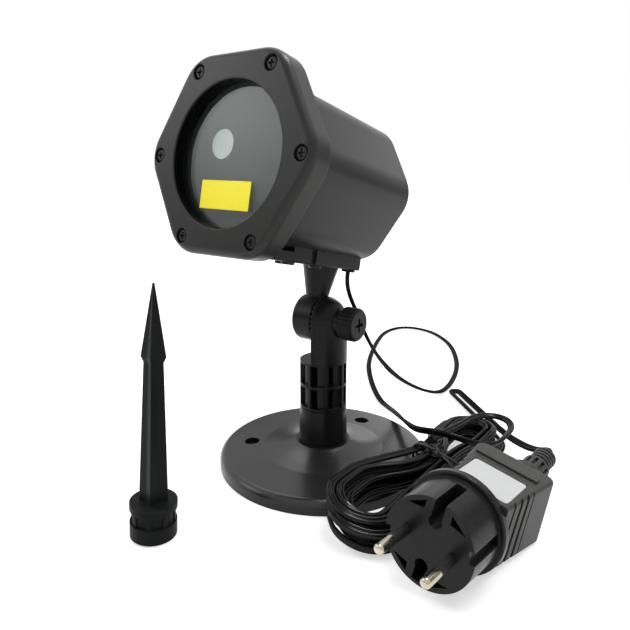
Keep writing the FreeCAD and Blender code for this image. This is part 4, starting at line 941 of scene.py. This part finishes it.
stickers = {
    "window_sticker": {
        "size": (28.2, 12.0),
        "corner": 0.5,
        "thick": 0.12,
        "middle": (-2.0, 5.18, -15.6),
        "lean": 0.8,
        "body": "head",
        "slot": "clear",
        # the window sticker's glow is painted light that brightens its yellow print
        "finish": dict(
            name="stickerYellow", deep=(0.86, 0.73, 0.012), pale=(0.93, 0.83, 0.02), border=(0.02, 0.05),
            roughness=0.34, edgeColour=(0.62, 0.50, 0.01), glow=0.26),
    },
    "adapter_sticker": {
        "size": (22.6, 20.2),
        "corner": 1.6,
        "thick": 0.16,
        "middle": (3.3, 35.3, 15.72),
        "body": "stand",
        "slot": "adapter_plastic",
        "finish": dict(
            name="stickerWhite", deep=(0.56, 0.565, 0.57), pale=(0.62, 0.62, 0.62), border=(0.03, 0.03),
            roughness=0.38, edgeColour=(0.44, 0.44, 0.44), glow=0.0),
    },
}
for name, setup in stickers.items():
    points, faces, uv = stickerSheet(setup["size"], setup["corner"], setup["thick"])
    if setup["body"] == "head":
        # sheet's x and y become the head's x and z, its thickness points out of the window
        points = np.stack([points[:, 0], -points[:, 2], points[:, 1]], -1) @ turnY(setup["lean"]).T
        points = onHead(points + np.array(setup["middle"]))
    else:
        points = onAdapter(points + np.array(setup["middle"]))
    sticker = meshPiece(name, points * mm, faces, uv)
    sticker.data.polygons.foreach_set("use_smooth", np.zeros(len(sticker.data.polygons), bool))
    sticker.data.materials.append(stickerFinish(**setup["finish"]))
    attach(sticker, setup["body"])
print("stickers in place")

# Studio: pale floor, white surroundings, soft lamps, cards and flags for the reflections
studioSetup = {
    "floorHalf": 6.0,
    "floorColour": (0.86, 0.86, 0.855),
    "floorLift": 0.01,
    "floorMottle": 40.0,
    "floorRoughness": 0.3,
    "floorSpecular": 0.25,
    "floorGlow": (0.55, 1.1),
    "glowReach": (0.35, 1.3),
    "skyFill": 0.16,
    "lamps": {
        "topLamp": {"place": (0.30, 0.40, 1.45), "size": 1.2, "power": 21.0},
        "keyLamp": {"place": (-1.10, -0.45, 0.85), "size": 0.8, "power": 13.0},
        "sideLamp": {"place": (1.50, 0.25, 0.55), "size": 0.8, "power": 4.0},
    },
    "cards": {
        "windowCard": {"place": (-0.97, -0.71, 0.81), "size": (1.0, 0.85), "strength": 4.4},
        "stripCard": {"place": (0.10, 0.25, 1.20), "size": (0.16, 1.0), "strength": 70.0},
        "backStrip": {"place": (-0.42, 1.10, 0.42), "size": (0.5, 0.3), "strength": 2.4},
        "frontFlag": {"place": (-0.68, -1.15, 0.30), "size": (1.5, 0.5), "strength": 0.0},
        "deckFlag": {"place": (-0.78, 0.78, 0.78), "size": (0.9, 0.7), "strength": 0.75},
        "coneCard": {"place": (-0.80, 0.60, 1.14), "size": (0.8, 0.8), "strength": 3.2},
        "coneFlag": {"place": (-1.06, 0.97, 0.36), "size": (1.2, 0.7), "strength": 0.0},
        "rightFlag": {"place": (0.76, 1.00, 0.50), "size": (0.8, 0.7), "strength": 0.0},
        "vertexCard": {"place": (0.06, 1.35, 0.55), "size": (0.5, 0.4), "strength": 2.0},
        "plugFlag": {"place": (1.02, 1.00, 0.14), "size": (1.0, 0.6), "strength": 0.0},
        "sideFlag": {"place": (0.60, 1.20, 0.10), "size": (0.9, 0.45), "strength": 0.0},
    },
    "aim": (0.02, 0.02, 0.08),
}


def seenRays(tree):
    # camera, glossy and transmission rays
    path = tree.nodes.new("ShaderNodeLightPath")
    other = mathNode(tree, "MAXIMUM", path.outputs["Is Glossy Ray"], path.outputs["Is Transmission Ray"])
    return mathNode(tree, "MAXIMUM", path.outputs["Is Camera Ray"], other)


def makeFloor(setup):
    # pale sheet; its glow to the eye grows with the distance from the object, so that it runs into the white
    # surroundings
    half = setup["floorHalf"]
    corners = np.array([(-half, -half, 0), (half, -half, 0), (half, half, 0), (-half, half, 0)])
    floor = meshPiece("floor", corners, [[0, 1, 2, 3]])
    material, tree, shader = startMaterial("floorPale")
    spot = tree.nodes.new("ShaderNodeTexCoord").outputs["Object"]
    tone = noiseNode(tree, spot, setup["floorMottle"], 3.0)
    paler = [value + setup["floorLift"] for value in setup["floorColour"]]
    colour = mixColour(tree, tone, opaque(setup["floorColour"]), opaque(paler))
    tree.links.new(colour, shader.inputs["Base Color"])
    shader.inputs["Roughness"].default_value = setup["floorRoughness"]
    shader.inputs["Specular IOR Level"].default_value = setup["floorSpecular"]
    length = tree.nodes.new("ShaderNodeVectorMath")
    length.operation = "LENGTH"
    tree.links.new(spot, length.inputs[0])
    ramp = tree.nodes.new("ShaderNodeMapRange")
    ramp.interpolation_type = "SMOOTHSTEP"
    limits = ("From Min", "From Max", "To Min", "To Max")
    for label, value in zip(limits, setup["glowReach"] + setup["floorGlow"]):
        ramp.inputs[label].default_value = value
    tree.links.new(length.outputs["Value"], ramp.inputs["Value"])
    glow = tree.nodes.new("ShaderNodeEmission")
    tree.links.new(times(tree, seenRays(tree), ramp.outputs["Result"]), glow.inputs["Strength"])
    both = tree.nodes.new("ShaderNodeAddShader")
    tree.links.new(shader.outputs[0], both.inputs[0])
    tree.links.new(glow.outputs[0], both.inputs[1])
    tree.links.new(both.outputs[0], tree.nodes["Material Output"].inputs["Surface"])
    floor.data.materials.append(material)


def makeSky(setup):
    world = bpy.data.worlds.new("studioSky")
    bpy.context.scene.world = world
    world.use_nodes = True
    tree = world.node_tree
    background = tree.nodes["Background"]
    background.inputs["Color"].default_value = (1.0, 1.0, 1.0, 1.0)
    strength = between(tree, seenRays(tree), setup["skyFill"], 1.0)
    tree.links.new(strength, background.inputs["Strength"])


def aimAt(holder, place, aim):
    holder.location = place
    holder.rotation_euler = (Vector(place) - Vector(aim)).to_track_quat("Z", "Y").to_euler()


def makeLamps(setup):
    for name, lamp in setup["lamps"].items():
        data = bpy.data.lights.new(name, "AREA")
        data.energy = lamp["power"]
        data.size = lamp["size"]
        holder = bpy.data.objects.new(name, data)
        bpy.context.scene.collection.objects.link(holder)
        aimAt(holder, lamp["place"], setup["aim"])
        holder.visible_glossy = False


def makeCards(setup):
    # bright cards and dark flags seen only in glossy faces: each fades out as (1 - u^2)^2 (1 - v^2)^2 from
    # its middle
    for name, card in setup["cards"].items():
        w, h = card["size"][0] / 2, card["size"][1] / 2
        corners = np.array([(-w, -h, 0), (w, -h, 0), (w, h, 0), (-w, h, 0)])
        sheet = meshPiece(name, corners, [[0, 1, 2, 3]])
        aimAt(sheet, card["place"], setup["aim"])
        sheet.visible_camera = False
        sheet.visible_diffuse = False
        sheet.visible_shadow = False
        sheet.visible_transmission = False
        material, tree = startMaterial(name)[:2]
        split = tree.nodes.new("ShaderNodeSeparateXYZ")
        tree.links.new(tree.nodes.new("ShaderNodeTexCoord").outputs["Object"], split.inputs[0])
        fall = []
        for axis, half in (("X", w), ("Y", h)):
            share = mathNode(tree, "DIVIDE", split.outputs[axis], half)
            fall.append(squared(tree, minus(tree, 1.0, squared(tree, share), clamp=True)))
        glow = tree.nodes.new("ShaderNodeEmission")
        glow.inputs["Strength"].default_value = card["strength"]
        both = tree.nodes.new("ShaderNodeMixShader")
        tree.links.new(times(tree, fall[0], fall[1]), both.inputs[0])
        tree.links.new(tree.nodes.new("ShaderNodeBsdfTransparent").outputs[0], both.inputs[1])
        tree.links.new(glow.outputs[0], both.inputs[2])
        tree.links.new(both.outputs[0], tree.nodes["Material Output"].inputs["Surface"])
        sheet.data.materials.append(material)


makeFloor(studioSetup)
makeSky(studioSetup)
makeLamps(studioSetup)
makeCards(studioSetup)
print("studio ready")
